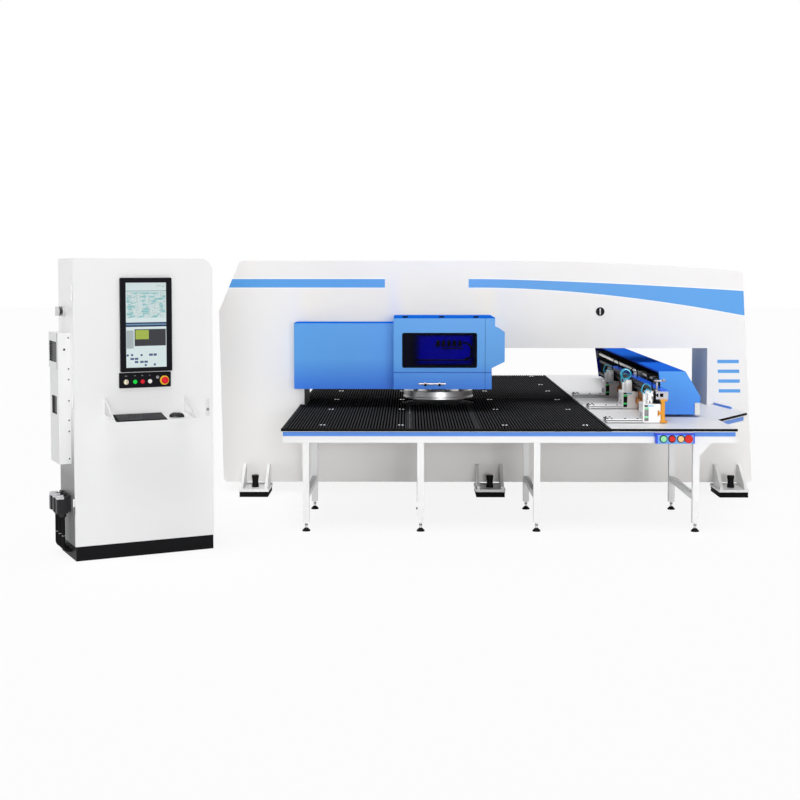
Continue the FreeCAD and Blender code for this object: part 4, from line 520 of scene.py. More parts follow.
def rounded_ring(low, high, radius, count=8):
    """Points in order round a rectangle with round corners, in its own plane."""
    ends = [(high[0] - radius, high[1] - radius), (low[0] + radius, high[1] - radius),
            (low[0] + radius, low[1] + radius), (high[0] - radius, low[1] + radius)]
    turns = [np.linspace(0, math.pi / 2, count) + k * math.pi / 2 for k in range(4)]
    return np.vstack([np.array(end) + radius * np.stack([np.cos(turn), np.sin(turn)], 1)
                      for end, turn in zip(ends, turns)])


def frame_strip(name, low, high, radius, width, front, proud):
    """Strip carried round a rectangle: four rings of points, out, front, in and back."""
    outer = rounded_ring(np.array(low) - width, np.array(high) + width, radius + width)
    inner = rounded_ring(low, high, radius)
    rings = [(outer, front + 0.003), (outer, front), (outer * 0.65 + inner * 0.35, front - proud),
             (outer * 0.35 + inner * 0.65, front - proud), (inner, front), (inner, front + 0.003)]
    points = np.array([np.stack([r[:, 0], np.full(len(r), y), r[:, 1]], 1) for r, y in rings])
    return surface(name, points, (True, True))


seal = frame_strip("window_seal", WINDOW_LOW, WINDOW_HIGH, 0.014, 0.006, datum.y + DOOR_FRONT, 0.002)
fit(seal, "hood_door", "black_rubber", rubber)
GUARD_Y = -1.035                        # the inner guard's front
# painted light: a vivid blue sheet behind the pane stands in for the blue tint of the light through it
pane_tint_blue = moulded("pane tint blue", (0.0, 0.0, 0.62), 0.6, 40.0, **dull)
guard = block("hood_inner_guard", (-0.085, 0.650), (GUARD_Y, GUARD_Y + 0.004), (1.285, 1.650), 0.0015)
fit(guard, "root", "hood_blue", pane_tint_blue)
VALVE_XS = (0.266, 0.318, 0.370, 0.422, 0.474)
VALVE = [(0, 62), (8, 62), (12, 54), (17, 48), (18, 20), (13, 12), (13, 0), (0, 0)]
OIL_BLOCKS = (("oil_manifold", (0.300, 0.505), 0.034, (1.476, 1.487), 0.004),
              ("oil_rail", (0.225, 0.505), 0.030, (1.500, 1.506), 0.003),
              ("oil_drip_tray", (0.010, 0.580), 0.036, (1.366, 1.378), 0.004))
oiler = [turned("oil_valves", VALVE, at(x, GUARD_Y - 0.022, 1.500), sides=20) for x in VALVE_XS]
oiler += [block(name, xs, (GUARD_Y - proud, GUARD_Y + 0.001), zs, radius)
          for name, xs, proud, zs, radius in OIL_BLOCKS]
fit(joined(oiler), "root", "black_plastic", black_plastic)


def tube_along(name, route, radius, sides=10, pitch=0.01, back=datum.y):
    """Tube of one radius along a route: a Catmull-Rom curve through its points, with a ring at each step."""
    route = np.array(route) + at(0, 0, 0, back)
    ends = np.vstack([2 * route[0] - route[1], route, 2 * route[-1] - route[-2]])
    count = max(2, int(np.linalg.norm(np.diff(route, axis=0), axis=1).max() / pitch))
    t = (np.arange(count) / count)[None, :, None]
    a, b, c, d = (ends[i:len(ends) - 3 + i, None, :] for i in range(4))
    bend, twist = 2 * a - 5 * b + 4 * c - d, 3 * b - 3 * c + d - a
    curve = 0.5 * (2 * b + (c - a) * t + bend * t ** 2 + twist * t ** 3)
    path = np.vstack([curve.reshape(-1, 3), route[-1:]])
    along = np.gradient(path, axis=0)
    along /= np.linalg.norm(along, axis=1)[:, None]
    across = np.cross(along, (0.31, 0.42, 0.85))
    across /= np.linalg.norm(across, axis=1)[:, None]
    points = path[:, None] + ring(across[:, None], along[:, None], sides) * radius
    first, last = (np.repeat(path[i][None, None], sides, 1) for i in (0, -1))
    return surface(name, np.concatenate([first, points, last]), (False, True))


OIL_LINE = [(0.500, 1.535), (0.532, 1.533), (0.566, 1.512), (0.584, 1.478), (0.586, 1.440), (0.574, 1.404),
            (0.548, 1.388), (0.520, 1.384)]
oil_line = tube_along("oil_line", [(x, GUARD_Y - 0.020, z) for x, z in OIL_LINE], 0.009)
fit(oil_line, "root", "black_rubber", rubber)

HANDLE_POSTS = (0.144, 0.279)           # where the bar handle stands off the door
HANDLE = (DOOR_FRONT - 0.038, 1.153)
CLASP = [(0, 5), (12, 5), (13.5, 1), (13.5, -11), (11, -18.5), (0, -19)]
CAP = [(0, 15), (6.5, 14), (8.5, 11), (8.5, 4), (0, 4)]
# painted highlight: the pale caps over the black clasps stand in for the glint on bright steel tops
for name, profile, slot, material in (("handle_clasps", CLASP, "black_steel", black_steel),
                                      ("handle_cap_highlights", CAP, "bright_steel", pale_plastic)):
    heads = [turned(name, profile, at(x, *HANDLE), sides=18) for x in HANDLE_POSTS]
    fit(joined(heads), "hood_door", slot, material)

# ---- turret ------------------------------------------------------------------
# Both tool carousels are turned from forged steel, the upper one ground bright.
# The lower one and the dies are painted black as shade under the upper turret.
# The housings that carry them are painted castings.
TURRET = (datum.x + 0.290, datum.y)


def lathe_steel(name):
    """Bright steel with turning rings: noise read by the distance from the turret's axis."""
    material, place = place_in(name)
    x, y, z = place.parts()
    reach = ((x - TURRET[0]) ** 2.0 + (y - TURRET[1]) ** 2.0) ** 0.5
    rings = reach.noise(1.0, 2.0, (700.0, 700.0, 700.0))
    tone = (place.noise(5.0) * 0.5 + rings * 0.4).blend(grey(0.80), (0.50, 0.51, 0.53))
    return finish(material, tone, rings * 0.2 + 0.29, 1.0, rings, 0.00015)


def casting(name, colour):
    """Painted casting: coarse sand skin under a thick grey coat."""
    material, place = place_in(name)
    cloud = place.noise(4.0)
    tone = (cloud * 0.4).blend(colour, shade(colour, 0.75))
    return finish(material, tone, cloud * 0.2 + 0.45, 0.0, place.noise(140.0, 4.0), 0.0006)


ground_steel = steel("ground steel")
tool_steel = steel("tool steel", (0.30, 0.30, 0.31), 0.35)
dress("upper_turret", lathe_steel("turned steel"))
dress("lower_turret", moulded("forging in painted shade", (0.012, 0.012, 0.013), 0.7, 300.0, **dull))
dress("punches", tool_steel)
# painted shade: the dies black
dress("dies", black_steel)
dress("ram", ground_steel)
dress("turret_housings", casting("grey casting", (0.30, 0.31, 0.32)))

# ---- brush table -------------------------------------------------------------
# The sheet slides on black nylon brushes: moulded blocks with a strip of bristles
# every 26 mm, screwed down between plain black edge bars.
TABLE_TOP = 0.880
BLOCK_UNDER = 0.860
BLOCK_FACE = 0.8675
BAR_TOP = TABLE_TOP - 0.001
EDGE_BAR = 0.024
BLOCK_GAP = 0.002
PITCH = 0.0262
STRIP = (0.0092, 0.0058)                # half width at the root and at the tip
STEP = 0.024                            # along a strip, from one ragged place to the next
TIP_START = 0.8715                      # below this, painted shade darkens the bristles between the strips; above it they are grey
TIP_REACH = 0.008
TURRET_HOLE = 0.358
brush_low, brush_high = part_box("brush_plates")
columns = (brush_low.x, datum.x, datum.x + 0.580, brush_high.x + BLOCK_GAP)
rows = ((brush_low.y, datum.y - 0.372), (datum.y + 0.372, brush_high.y))
bristle_dice = np.random.default_rng(7)


def bristle_black(name):
    """Black nylon, painted near black as shade between the strips, greyer and duller at the tips."""
    material, place = place_in(name)
    tip = ((place.parts()[2] - TIP_START) / TIP_REACH).ramp()
    speckle = place.noise(500.0, 2.0)
    tip_tone = (place.noise(2.2) * 0.6).blend((0.074, 0.074, 0.078), (0.046, 0.046, 0.049))
    tone = (tip * 0.85).blend(grey(0.0015), tip_tone)
    return finish(material, tone, speckle * 0.2 + 0.65, 0.0, speckle, 0.0008, **{"Specular IOR Level": 0.0})


def bristles_between(x, y0, y1):
    """Points and faces of one brush strip: four points a step, root, tip, tip and root, and closed ends.

    Its tip leans and stands unevenly by up to about a millimetre at each step, from a seeded spread.
    """
    ys = np.linspace(y0, y1, max(2, int((y1 - y0) / STEP)))
    lean = bristle_dice.uniform(-0.0009, 0.0009, len(ys))
    top = TABLE_TOP - bristle_dice.uniform(0.0, 0.0012, len(ys))
    low = np.full(len(ys), BLOCK_FACE - 0.001)
    straight = np.full(len(ys), x)
    root, tip = STRIP
    corners = [(straight - root, low), (x - tip + lean, top), (x + tip + lean, top), (straight + root, low)]
    points = np.stack([np.stack([xs, ys, zs], 1) for xs, zs in corners], 1).reshape(-1, 3)
    starts = np.arange(len(ys) - 1)[:, None] * 4
    sides = [starts + np.array([i, 4 + i, 4 + (i + 1) % 4, (i + 1) % 4]) for i in range(4)]
    last = len(points) - 1
    return points, np.concatenate(sides).tolist() + [[0, 1, 2, 3], [last, last - 1, last - 2, last - 3]]


def slab(low, high):
    """Points and faces of a plain block, for joining to others of its mesh."""
    x, y, z = np.meshgrid(*zip(low, high), indexing="ij")
    points = np.stack([x, y, z], -1).reshape(-1, 3)
    return points, [[0, 1, 3, 2], [4, 6, 7, 5], [0, 4, 5, 1], [2, 3, 7, 6], [0, 2, 6, 4], [1, 5, 7, 3]]


def loose(name, parts):
    """Object whose parts stay separate shells, each already closed and facing outwards."""
    starts = np.cumsum([0] + [len(points) for points, _ in parts])
    faces = [[i + start for i in face] for (_, own), start in zip(parts, starts) for face in own]
    return object_of(name, mesh_of(name, np.vstack([points for points, _ in parts]), faces))


def brush_block(name, low, high, holed=False):
    """One block with its strips: between edge bars, or cut back round the turret's hole."""
    x0, y0, x1, y1 = *low, high[0] - BLOCK_GAP, high[1]
    if not holed:
        parts = [slab((x0, y0, BLOCK_UNDER), (x1, y1, BLOCK_FACE)),
                 slab((x0, y0, BLOCK_FACE), (x1, y0 + EDGE_BAR, BAR_TOP)),
                 slab((x1 - EDGE_BAR, y0 + EDGE_BAR, BLOCK_FACE), (x1, y1, BAR_TOP)),
                 slab((x0, y0 + EDGE_BAR, BLOCK_FACE), (x0 + EDGE_BAR, y1, BAR_TOP))]
        parts += [bristles_between(x, y0 + EDGE_BAR + 0.002, y1 - 0.004)
                  for x in np.arange(x0 + EDGE_BAR + PITCH / 2, x1 - EDGE_BAR - STRIP[0], PITCH)]
        return loose(name, parts)
    parts = []
    for x in np.arange(x0 + PITCH / 2, x1 - PITCH / 2, PITCH):
        nearest = max(abs(x - TURRET[0]) - PITCH / 2, 0)
        reach = math.sqrt(max(TURRET_HOLE ** 2 - nearest ** 2, 0)) + 0.001
        runs = ((y0, y1),) if nearest >= TURRET_HOLE else ((y0, TURRET[1] - reach), (TURRET[1] + reach, y1))
        for a, b in runs:
            if b - a > 0.004:
                parts.append(slab((x - PITCH / 2, a, BLOCK_UNDER), (x + PITCH / 2, b, BLOCK_FACE)))
                parts.append(bristles_between(x, a + 0.001, b - 0.001))
    return loose(name, parts)


bristles = bristle_black("brush nylon")
for r, (y0, y1) in enumerate(rows):
    for c, (x0, x1) in enumerate(zip(columns, columns[1:])):
        piece = brush_block("brush_block_%d_%d" % (r, c), (x0, y0), (x1, y1))
        fit(piece, "root", "brush_black", bristles, "brush_plates")
for side, (x0, x1) in enumerate(((datum.x - 1.045, TURRET[0]), (TURRET[0], brush_high.x))):
    piece = brush_block("brush_block_window_%d" % side, (x0, datum.y - 0.335), (x1, datum.y + 0.335), True)
    fit(piece, "root", "brush_black", bristles, "brush_plates")
BOLT_XS = (-0.774, -0.094, 0.810, 1.510)
BOLT_YS = (-2.130, -0.840, 0.120, 1.080, 1.900, 3.110)
BOLT_STEP = 0.030                       # the bolts sit in pairs
DOME = [(0, 3.2), (5, 3.1), (8.5, 2.8), (10.8, 2), (12, 0.6), (12.2, -1), (0, -1)]
bolts = [turned("block_bolts", DOME, at(x + step, y, TABLE_TOP), sides=16)
         for x in BOLT_XS for y in BOLT_YS for step in (0.0, BOLT_STEP)]
fit(joined(bolts), "root", "bright_steel", steel("bolt steel", (0.85, 0.85, 0.86), 0.12), "table_bolts")

# ---- steel plates and frames of the table ------------------------------------
# Right of the brushes the clamps run over smooth, pale, plated sheets. Welded
# square tube carries everything; screwed cone feet level it. Blue strips and a
# black lip finish the edges.


def plated(name):
    """Pale plated sheet, brushed along X, with long faint scuffs where sheets slide."""
    material, place = place_in(name)
    brushed = place.noise(40.0, 2.0, (0.5, 14.0, 1.0))
    scuff = place.noise(3.0, 5.0, (4.0, 0.5, 1.0))
    tone = (brushed * 0.20 + scuff * 0.20).blend((0.87, 0.87, 0.88), (0.74, 0.74, 0.76))
    return finish(material, tone, scuff * 0.2 + 0.34, 0.10, brushed, 0.0001)


dress("steel_plates", plated("plated sheet"))
dress("table_frames", plain_enamel)
strip_coat = enamel("strip enamel", mottled(0.9, (0.095, 0.280, 0.80), (0.08, 0.23, 0.74), 0.2), 0.36, 0.2)
dress("edge_strips", strip_coat)
LEG_XS = (-0.885, 0.092, 1.081, 2.432)
LEG_YS = (-2.385, -1.330, 1.330, 3.240)
FOOT_SCREW = [(0, 0), (34.5, 0), (35, 2), (34.5, 8), (24, 19), (12.5, 30), (10.5, 30.5), (10.5, 50),
              (13.5, 51), (13.5, 60), (10.5, 61), (10.5, 75.2), (0, 75.2)]
CONE_TOP = 0.0303
FOOT_NUT = (0.0505, 0.0605)
THREAD_PITCH = 0.004


def foot_finish(name):
    """Black moulded cone under a bright screw, whose nut and thread roots are dark."""
    material, place = place_in(name)
    height = place.parts()[2]
    screw = height > CONE_TOP
    dark = height.between(*FOOT_NUT).either((height / THREAD_PITCH) % 1.0 < 0.3)
    tone = screw.blend(grey(0.006), (dark * 0.8).blend((0.78, 0.78, 0.79), grey(0.06)))
    rough = place.noise(80.0) * 0.2 + 0.3
    return finish(material, tone, rough, screw * 0.3, place.noise(400.0, 1.0), 0.0001, **dull)


screws = [turned("leg_screws", FOOT_SCREW, at(x, y, 0), sides=18) for x in LEG_XS for y in LEG_YS]
fit(joined(screws), "root", "black_steel", foot_finish("levelling foot"), "levelling_feet")
TABLE_XS = (-1.095, 2.776)
TABLE_FRONT = -2.430
WING = ((2.776, 1.740), (3.155, 1.190))  # the slanted edge's ends, right of and away from the datum


def laid(points, origin, right):
    """Points from their own right, back and up, turned in plan so that right points along a unit vector."""
    turn = np.array([(right[0], right[1], 0), (-right[1], right[0], 0), (0, 0, 1)])
    return np.asarray(points) @ turn + (origin[0], origin[1], 0)


def set_down(made, origin, right):
    """Turns and moves an object's points in that way."""
    points = np.empty(len(made.data.vertices) * 3)
    made.data.vertices.foreach_get("co", points)
    made.data.vertices.foreach_set("co", laid(points.reshape(-1, 3), origin, right).ravel())
    made.data.update()
    return made


def bar_between(name, start, end, half, heights, radius):
    """Rounded bar from one place in plan to another, as wide as twice its half width."""
    run = np.subtract(end, start)
    length = float(np.linalg.norm(run))
    bar = rounded(name, (0, -half, heights[0]), (length, half, heights[1]), radius)
    return set_down(bar, at(*start, 0), run / length)


lips = [block("table_lip", TABLE_XS, (TABLE_FRONT - 0.006, TABLE_FRONT + 0.004), (0.8625, 0.884), 0.003)]
for side in (-1, 1):
    ends = [(x, side * y) for x, y in WING]
    lips.append(bar_between("table_lip", *ends, 0.008, (0.866, 0.886), 0.004))
fit(joined(lips), "root", "black_rubber", rubber)
stop = bar_between("wing_stop", (3.036, -0.372), (3.108, -0.785), 0.009, (0.876, 0.900), 0.004)
fit(stop, "root", "strip_blue", strip_coat)
LIP_SCREWS = (-0.95, -0.42, 0.02, 0.56, 0.61, 1.12, 1.66, 1.78, 2.42)
screws = [turned("lip_screws", DOME, at(x, TABLE_FRONT + 0.013, TABLE_TOP), sides=12) for x in LIP_SCREWS]
fit(joined(screws), "root", "black_steel", black_steel)

# ---- button box --------------------------------------------------------------
# A folded blue box on the table's front edge holds the operator's three push
# buttons and the stop button, each in a black ring.
BOX_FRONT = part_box("button_box")[0].y
BOX_FACE = ((2.090, 2.392), (0.763, 0.838))
BUTTON_HEIGHT = 0.806


def box_paint(place):
    """Light blue face inside a vivid blue rim, top and sides."""
    x, y, z = drawn(place)
    face = x.between(*BOX_FACE[0]) * z.between(*BOX_FACE[1]) * (y < BOX_FRONT - datum.y + 0.0005)
    return face.blend((0.012, 0.070, 0.80), (0.15, 0.37, 0.84))


dress("button_box", enamel("box enamel", box_paint, 0.3, 0.2))
CAP_COLOURS = {"mint": (0.30, 0.79, 0.40), "scarlet": (0.68, 0.018, 0.014), "cream": (0.93, 0.60, 0.24),
               "green": (0.01, 0.72, 0.06), "red": (0.75, 0.012, 0.03), "white": (0.85, 0.84, 0.80)}
cap_shine = {"Coat Weight": 0.05, "Specular IOR Level": 0.12}
cap_plastics = {name: moulded(name + " cap", colour, 0.25, 1500.0, **cap_shine)
                for name, colour in CAP_COLOURS.items()}


def collar(name, body, spot, axis, radius, wide, proud):
    """A button's ring: a low wall just clear of a cap of this radius, its sizes in millimetres."""
    inner = radius + 0.6
    profile = [(inner, 0.2), (inner, proud - 1), (inner + wide * 0.3, proud),
               (inner + wide * 0.85, proud * 0.7), (inner + wide, 0.2), (inner, 0.2)]
    fit(turned(name, profile, spot, axis), body, "black_plastic", black_plastic)


for button, ring_name, colour, *sizes in (("button_green", "ring_green", "mint", 25, 7.5, 5.6),
                                          ("button_red", "ring_red", "scarlet", 25, 7.5, 5.6),
                                          ("button_yellow", "ring_yellow", "cream", 25, 7.5, 5.6),
                                          ("stop_button", "stop_ring", "scarlet", 11, 24.5, 6.2)):
    dress("station_" + button, cap_plastics[colour])
    low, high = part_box("station_" + button)
    spot = ((low.x + high.x) / 2, BOX_FRONT, BUTTON_HEIGHT)
    collar("station_" + ring_name, "root", spot, (0, -1, 0), *sizes)

# ---- cross beam --------------------------------------------------------------
# A fabricated beam under a folded blue cover runs on two cross rails. Its open
# side holds the linear rails and the ball screw, and is painted dark inside as shade.
BEAM_TOP_BLUE = (0.015, 0.150, 0.780)
BEAM_LIT_BLUE = (0.075, 0.330, 0.860)
BEAM_FOOT_SHADE_BLUE = (0.060, 0.255, 0.820)
BEAM_EDGE_SHADE_BLUE = (0.030, 0.10, 0.62)
BEAM_FAR_SHADE_NAVY = (0.004, 0.010, 0.190)
BEAM_FRONT = -1.4995
BEAM_FAR = 2.7795
BEAM_FLANK = (2.46, 1.2990)             # right of this and below this the cover's flank is painted lighter, as painted light
BEAM_EDGE = (2.2745, 1.280)             # left of this and above this the cover's near edge is painted darker, as painted shade
BEAM_HOLLOW = (2.4502, -1.4798, (0.9052, 1.2852))  # painted dark as shade: open left of this, behind this, between these heights
MOTOR_FRONT = -1.4998
BEAM_SHADE_BELOW = 1.24                       # under this height painted shade turns the cover's flank to its foot blue


def beam_paint(place):
    """Blue cover with painted light and shade: a lighter end face and flank that darken towards the foot, a
    darker near edge, and inside dark recesses up to a navy far plate.
    """
    x, y, z = drawn(place)
    down = ((BEAM_SHADE_BELOW - z) * 3.2).ramp()
    flank = (y < BEAM_FRONT).either((x > BEAM_FLANK[0]) * (z < BEAM_FLANK[1]))
    coat = flank.blend(BEAM_TOP_BLUE, down.blend(BEAM_LIT_BLUE, BEAM_FOOT_SHADE_BLUE))
    coat = ((x < BEAM_EDGE[0]) * (z > BEAM_EDGE[1])).blend(coat, BEAM_EDGE_SHADE_BLUE)
    # painted shade: the hollow dark, navy at its far end
    inside = (x < BEAM_HOLLOW[0]) * (y > BEAM_HOLLOW[1]) * z.between(*BEAM_HOLLOW[2])
    return inside.blend(coat, (y > BEAM_FAR).blend((0.010, 0.010, 0.012), BEAM_FAR_SHADE_NAVY))


def beam_lacquer(place):
    """Clear coat on the front end only."""
    return (drawn(place)[1] < BEAM_FRONT) * 0.22


dress("beam_housing", enamel("beam enamel", beam_paint, 0.45, 0.0, beam_lacquer))
dress("beam_rails", black_steel)
dress("cross_rails", ground_steel)


def saddle_paint(place):
    """Grey on the saddles; the block on the beam's end plate is light moulded plastic."""
    return (drawn(place)[1] < MOTOR_FRONT).blend((0.34, 0.35, 0.36), (0.70, 0.70, 0.68))


dress("beam_saddles", enamel("saddle enamel", saddle_paint, 0.42))
dress("screw_drive", casting("dark casting", (0.02, 0.02, 0.022)))
SCREW_AXIS = (2.330, 1.185)
SCREW_LEAD = 0.010


def threaded(name):
    """Ground ball screw: the bump is a wave of the way along plus the turn round the axis."""
    material, place = place_in(name)
    x, y, z = drawn(place)
    beside, above = x - SCREW_AXIS[0], z - SCREW_AXIS[1]
    phase = y * (2 * math.pi / SCREW_LEAD) + above.maths("ARCTAN2", above, beside)
    wave = phase.maths("SINE", phase)
    tone = (wave * 0.5 + 0.5).blend((0.88, 0.87, 0.85), grey(0.62))
    return finish(material, tone, place.noise(8.0) * 0.2 + 0.22, 0.55, wave, 0.002)


dress("ball_screw", threaded("ball screw steel"))

# ---- carriage ----------------------------------------------------------------
# The clamps ride on an orange-painted I-section with a dovetail bar. Above it lie
# a black anodised slotted extrusion and a bright blue cover strip.
CARRIAGE_FRONT = -1.990


def carriage_paint(place):
    """Orange, with painted shade that browns it away from its front end."""
    away = ((drawn(place)[1] - CARRIAGE_FRONT) * 5.0).ramp()
    return (away * (place.noise(7.0, 5.0) * 0.35 + 0.65)).blend((0.78, 0.33, 0.025), (0.42, 0.135, 0.022))


def anodised(name):
    """Black anodised aluminium with faint draw lines along its length, bare at its sawn front end."""
    material, place = place_in(name)
    sawn = drawn(place)[1] < CARRIAGE_FRONT + 0.0003
    lines = place.noise(500.0, 2.0, (1.0, 0.01, 1.0))
    tone = sawn.blend((lines * 0.4).blend(NEAR_BLACK, (0.03, 0.03, 0.033)), (0.42, 0.43, 0.46))
    return finish(material, tone, lines * 0.15 + 0.33, 0.2, lines, 0.0001, **dull)


dress("carriage_beam", enamel("carriage enamel", carriage_paint, 0.4, 0.12))
dress("carriage_extrusion", anodised("black anodised alloy"))
vivid = mottled(1.5, (0.006, 0.140, 0.96), (0.004, 0.110, 0.86), 0.3)
dress("carriage_strip", enamel("vivid strip enamel", vivid, 0.3, 0.1))
dress("carriage_slides", tool_steel)
SENSOR_BRACKET = (((2.168, 2.182), (-1.962, -1.948), (1.160, 1.250)),
                  ((2.150, 2.250), (-1.966, -1.944), (1.244, 1.258)),
                  ((2.160, 2.190), (-1.970, -1.940), (1.160, 1.172)),
                  ((2.222, 2.246), (-1.985, -1.935), (1.252, 1.266)))
SCREW_READER = (((2.262, 2.286), (-0.300, -0.180), (1.160, 1.196)),
                ((2.256, 2.276), (-0.280, -0.200), (1.190, 1.226)),
                ((2.268, 2.280), (-0.240, -0.140), (1.205, 1.216)))
bracket = [block("sensor_bracket", *sizes, 0.003) for sizes in SENSOR_BRACKET]
fit(joined(bracket), "carriage", "black_steel", tool_steel)
reader = [block("screw_reader", *sizes, 0.004) for sizes in SCREW_READER]
fit(joined(reader), "carriage", "bright_steel", ground_steel)


def tubing(name, colour):
    """Soft polyurethane tube: glossy, slightly milky, with slow drifts in its tint."""
    material, place = place_in(name)
    cloud = place.noise(30.0)
    tone = (cloud * 0.5).blend(colour, shade(colour, 1.3, 0.03))
    ripple = place.noise(200.0, 1.0)
    return finish(material, tone, cloud * 0.1 + 0.2, 0.0, ripple, 0.0001, **{"Coat Weight": 0.3})


cyan_tube = tubing("cyan tube", (0.02, 0.42, 0.62))
dress("air_hose", cyan_tube)

# ---- sheet clamps ------------------------------------------------------------
# Three pneumatic clamps: a white block with its air cylinder on top, a long thin
# lower jaw over the plates, and a hinged upper jaw.
CLAMP_SPOTS = (-1.875, -0.700, 0.480)
JAW_TOP = 0.8885
JAW_END = 2.060                         # where the lower jaw leaves the block
BODY_TOP = 1.0505                       # just over a clamp's body, where its fittings start


def clamp_paint(place):
    """White block over a thin lower jaw, painted black as the shade under the upper jaw."""
    x, _, z = drawn(place)
    jaw = (z < JAW_TOP) * (x < JAW_END)
    return jaw.blend(place.noise(3.0).blend(grey(0.93), grey(0.86)), (0.012, 0.012, 0.013))


clamp_coat = enamel("clamp enamel", clamp_paint, 0.35)
jaw_steel = enamel("jaw enamel", mottled(9.0, grey(0.93), (0.82, 0.82, 0.83)), 0.34)
bright_green = moulded("bright green", (0.04, 0.74, 0.16), 0.3)
pale_green = moulded("pale green", (0.27, 0.79, 0.42), 0.35)
gauge_grey = moulded("gauge grey", (0.20, 0.20, 0.21), 0.4)
mirror = steel("polished steel", (0.86, 0.86, 0.87), 0.12, scale=40.0)
JAW_SCREW = [(0, 7), (7, 7), (8.5, 5), (8.5, -1), (0, -1)]
JAW_SCREW_SPOTS = ((1.748, -0.058), (1.748, 0.058), (1.782, -0.058), (1.782, 0.058), (1.900, -0.070),
                   (2.010, -0.070))
VALVE_CAP = [(0, 30), (10, 30), (13, 26), (13, 10), (15.5, 8), (15.5, 2), (10, 0), (0, 0)]
VALVE_CAP_SPOTS = (((2.098, -0.088, 1.050), (0, 0, 1)), ((2.128, -0.088, 1.050), (0, 0, 1)),
                   ((2.110, -0.072, 1.098), (0, -1, 0)), ((2.132, -0.060, 1.128), (0, -1, 0)),
                   ((2.118, 0.085, 1.050), (0, 0, 1)))
ACCUMULATOR = [(0, 86), (8, 86), (12.5, 80), (12.5, 58), (14, 56), (14, 6), (11, 0), (0, 0)]
SMALL_LOOP = [(2.068, -0.078, 1.134), (2.070, -0.080, 1.156), (2.084, -0.074, 1.172),
              (2.104, -0.062, 1.176), (2.120, -0.050, 1.160), (2.128, -0.046, 1.136)]
BIG_LOOP = [(2.060, -0.020, 1.128), (2.052, -0.024, 1.168), (2.070, -0.006, 1.208), (2.104, 0.020, 1.214),
            (2.140, 0.036, 1.188), (2.156, 0.036, 1.148)]
BLACK_LINE = [(2.150, 0.000, 1.148), (2.148, 0.004, 1.200), (2.156, 0.016, 1.248), (2.184, 0.030, 1.272),
              (2.214, 0.036, 1.252), (2.222, 0.038, 1.214), (2.222, 0.038, 1.176)]
COIL_TURNS = 6


def clamp_pieces(number, spot):
    """Fittings of one clamp: jaw screws and shim, gauge strip, manifold with its knobs, and hoses."""
    def box(x, y, z, radius=0.0015):
        return block("part", x, y, z, radius, spot)

    def post(profile, x, y, z, axis=(0, 0, 1), sides=20):
        return turned("part", profile, at(x, y, z, spot), axis, sides)

    def tube(route, radius=0.0045, sides=10, pitch=0.01):
        return tube_along("part", route, radius, sides, pitch, spot)

    def put(name, parts, slot, material, body="clamp"):
        whole = joined(parts)
        whole.name = "%s_%d" % (name, number)
        fit(whole, "%s_%d" % (body, number), slot, material)

    near = number == 1
    screws = [post(JAW_SCREW, x, y, 0.914, sides=14) for x, y in JAW_SCREW_SPOTS]
    screws.append(box((1.729, 1.745), (-0.0845, 0.0845), (0.9035, 0.9145), 0.002))
    put("jaw_screws", screws, "black_steel", black_steel, "jaw")
    gauge = box((2.062, 2.098), (-0.1190, -0.1145), (0.900, 1.021), 0.002)
    put("clamp_gauge", [gauge], "black_steel", gauge_grey if near else black_steel)
    bands = [box((2.0625, 2.0975), (-0.1200, -0.1150), (z, z + 0.018)) for z in (0.926, 1.002)]
    put("clamp_bands", bands, "green_plastic", pale_green if near else bright_green)
    put("clamp_slot", [box((2.062, 2.092), (-0.1180, -0.1145), (1.026, 1.040))], "black_steel", black_steel)
    put("clamp_lever", [box((2.090, 2.142), (-0.1185, -0.1145), (1.030, 1.038))], "cyan_hose", cyan_tube)
    manifold = [box((2.150, 2.196), (-0.060, 0.040), (BODY_TOP, 1.150), 0.004),
                box((2.166, 2.200), (-0.100, -0.055), (BODY_TOP, 1.096), 0.004)]
    put("clamp_manifold", manifold, "black_plastic", black_plastic)
    if near:
        valve = [post(VALVE_CAP, *place, axis) for place, axis in VALVE_CAP_SPOTS]
        valve.append(box((2.096, 2.142), (-0.076, -0.046), (BODY_TOP, 1.142), 0.006))
        put("clamp_valve", valve, "bright_steel", mirror)
    else:
        boxed = [box((2.084, 2.146), (-0.104, -0.034), (BODY_TOP, 1.146), 0.005),
                 box((2.090, 2.140), (-0.098, -0.040), (1.144, 1.158), 0.004)]
        put("clamp_valve_box", boxed, "clamp_white", clamp_coat)
    put("clamp_accumulator", [post(ACCUMULATOR, 2.066, -0.078, 1.050)], "clamp_white", clamp_coat)
    hoses = [tube(SMALL_LOOP), tube(BIG_LOOP)]
    if number == 2:
        turn = np.linspace(0, COIL_TURNS * 2 * math.pi, COIL_TURNS * 24)
        radius = 0.050 - 0.006 * np.linspace(-1, 1, len(turn)) ** 2
        coil = np.stack([2.098 + radius * np.cos(turn), -0.052 + 0.0105 * turn / (2 * math.pi),
                         1.212 + radius * np.sin(turn)], 1)
        hoses.append(tube(coil, 0.0052, 8, 0.02))
    put("clamp_hoses", hoses, "cyan_hose", cyan_tube)
    put("clamp_line", [tube(BLACK_LINE, 0.0055)], "black_rubber", rubber)


for number, y in enumerate(CLAMP_SPOTS, 1):
    dress("clamp_body_%d" % number, clamp_coat)
    dress("clamp_jaw_%d" % number, jaw_steel)
    clamp_pieces(number, datum.y + y)

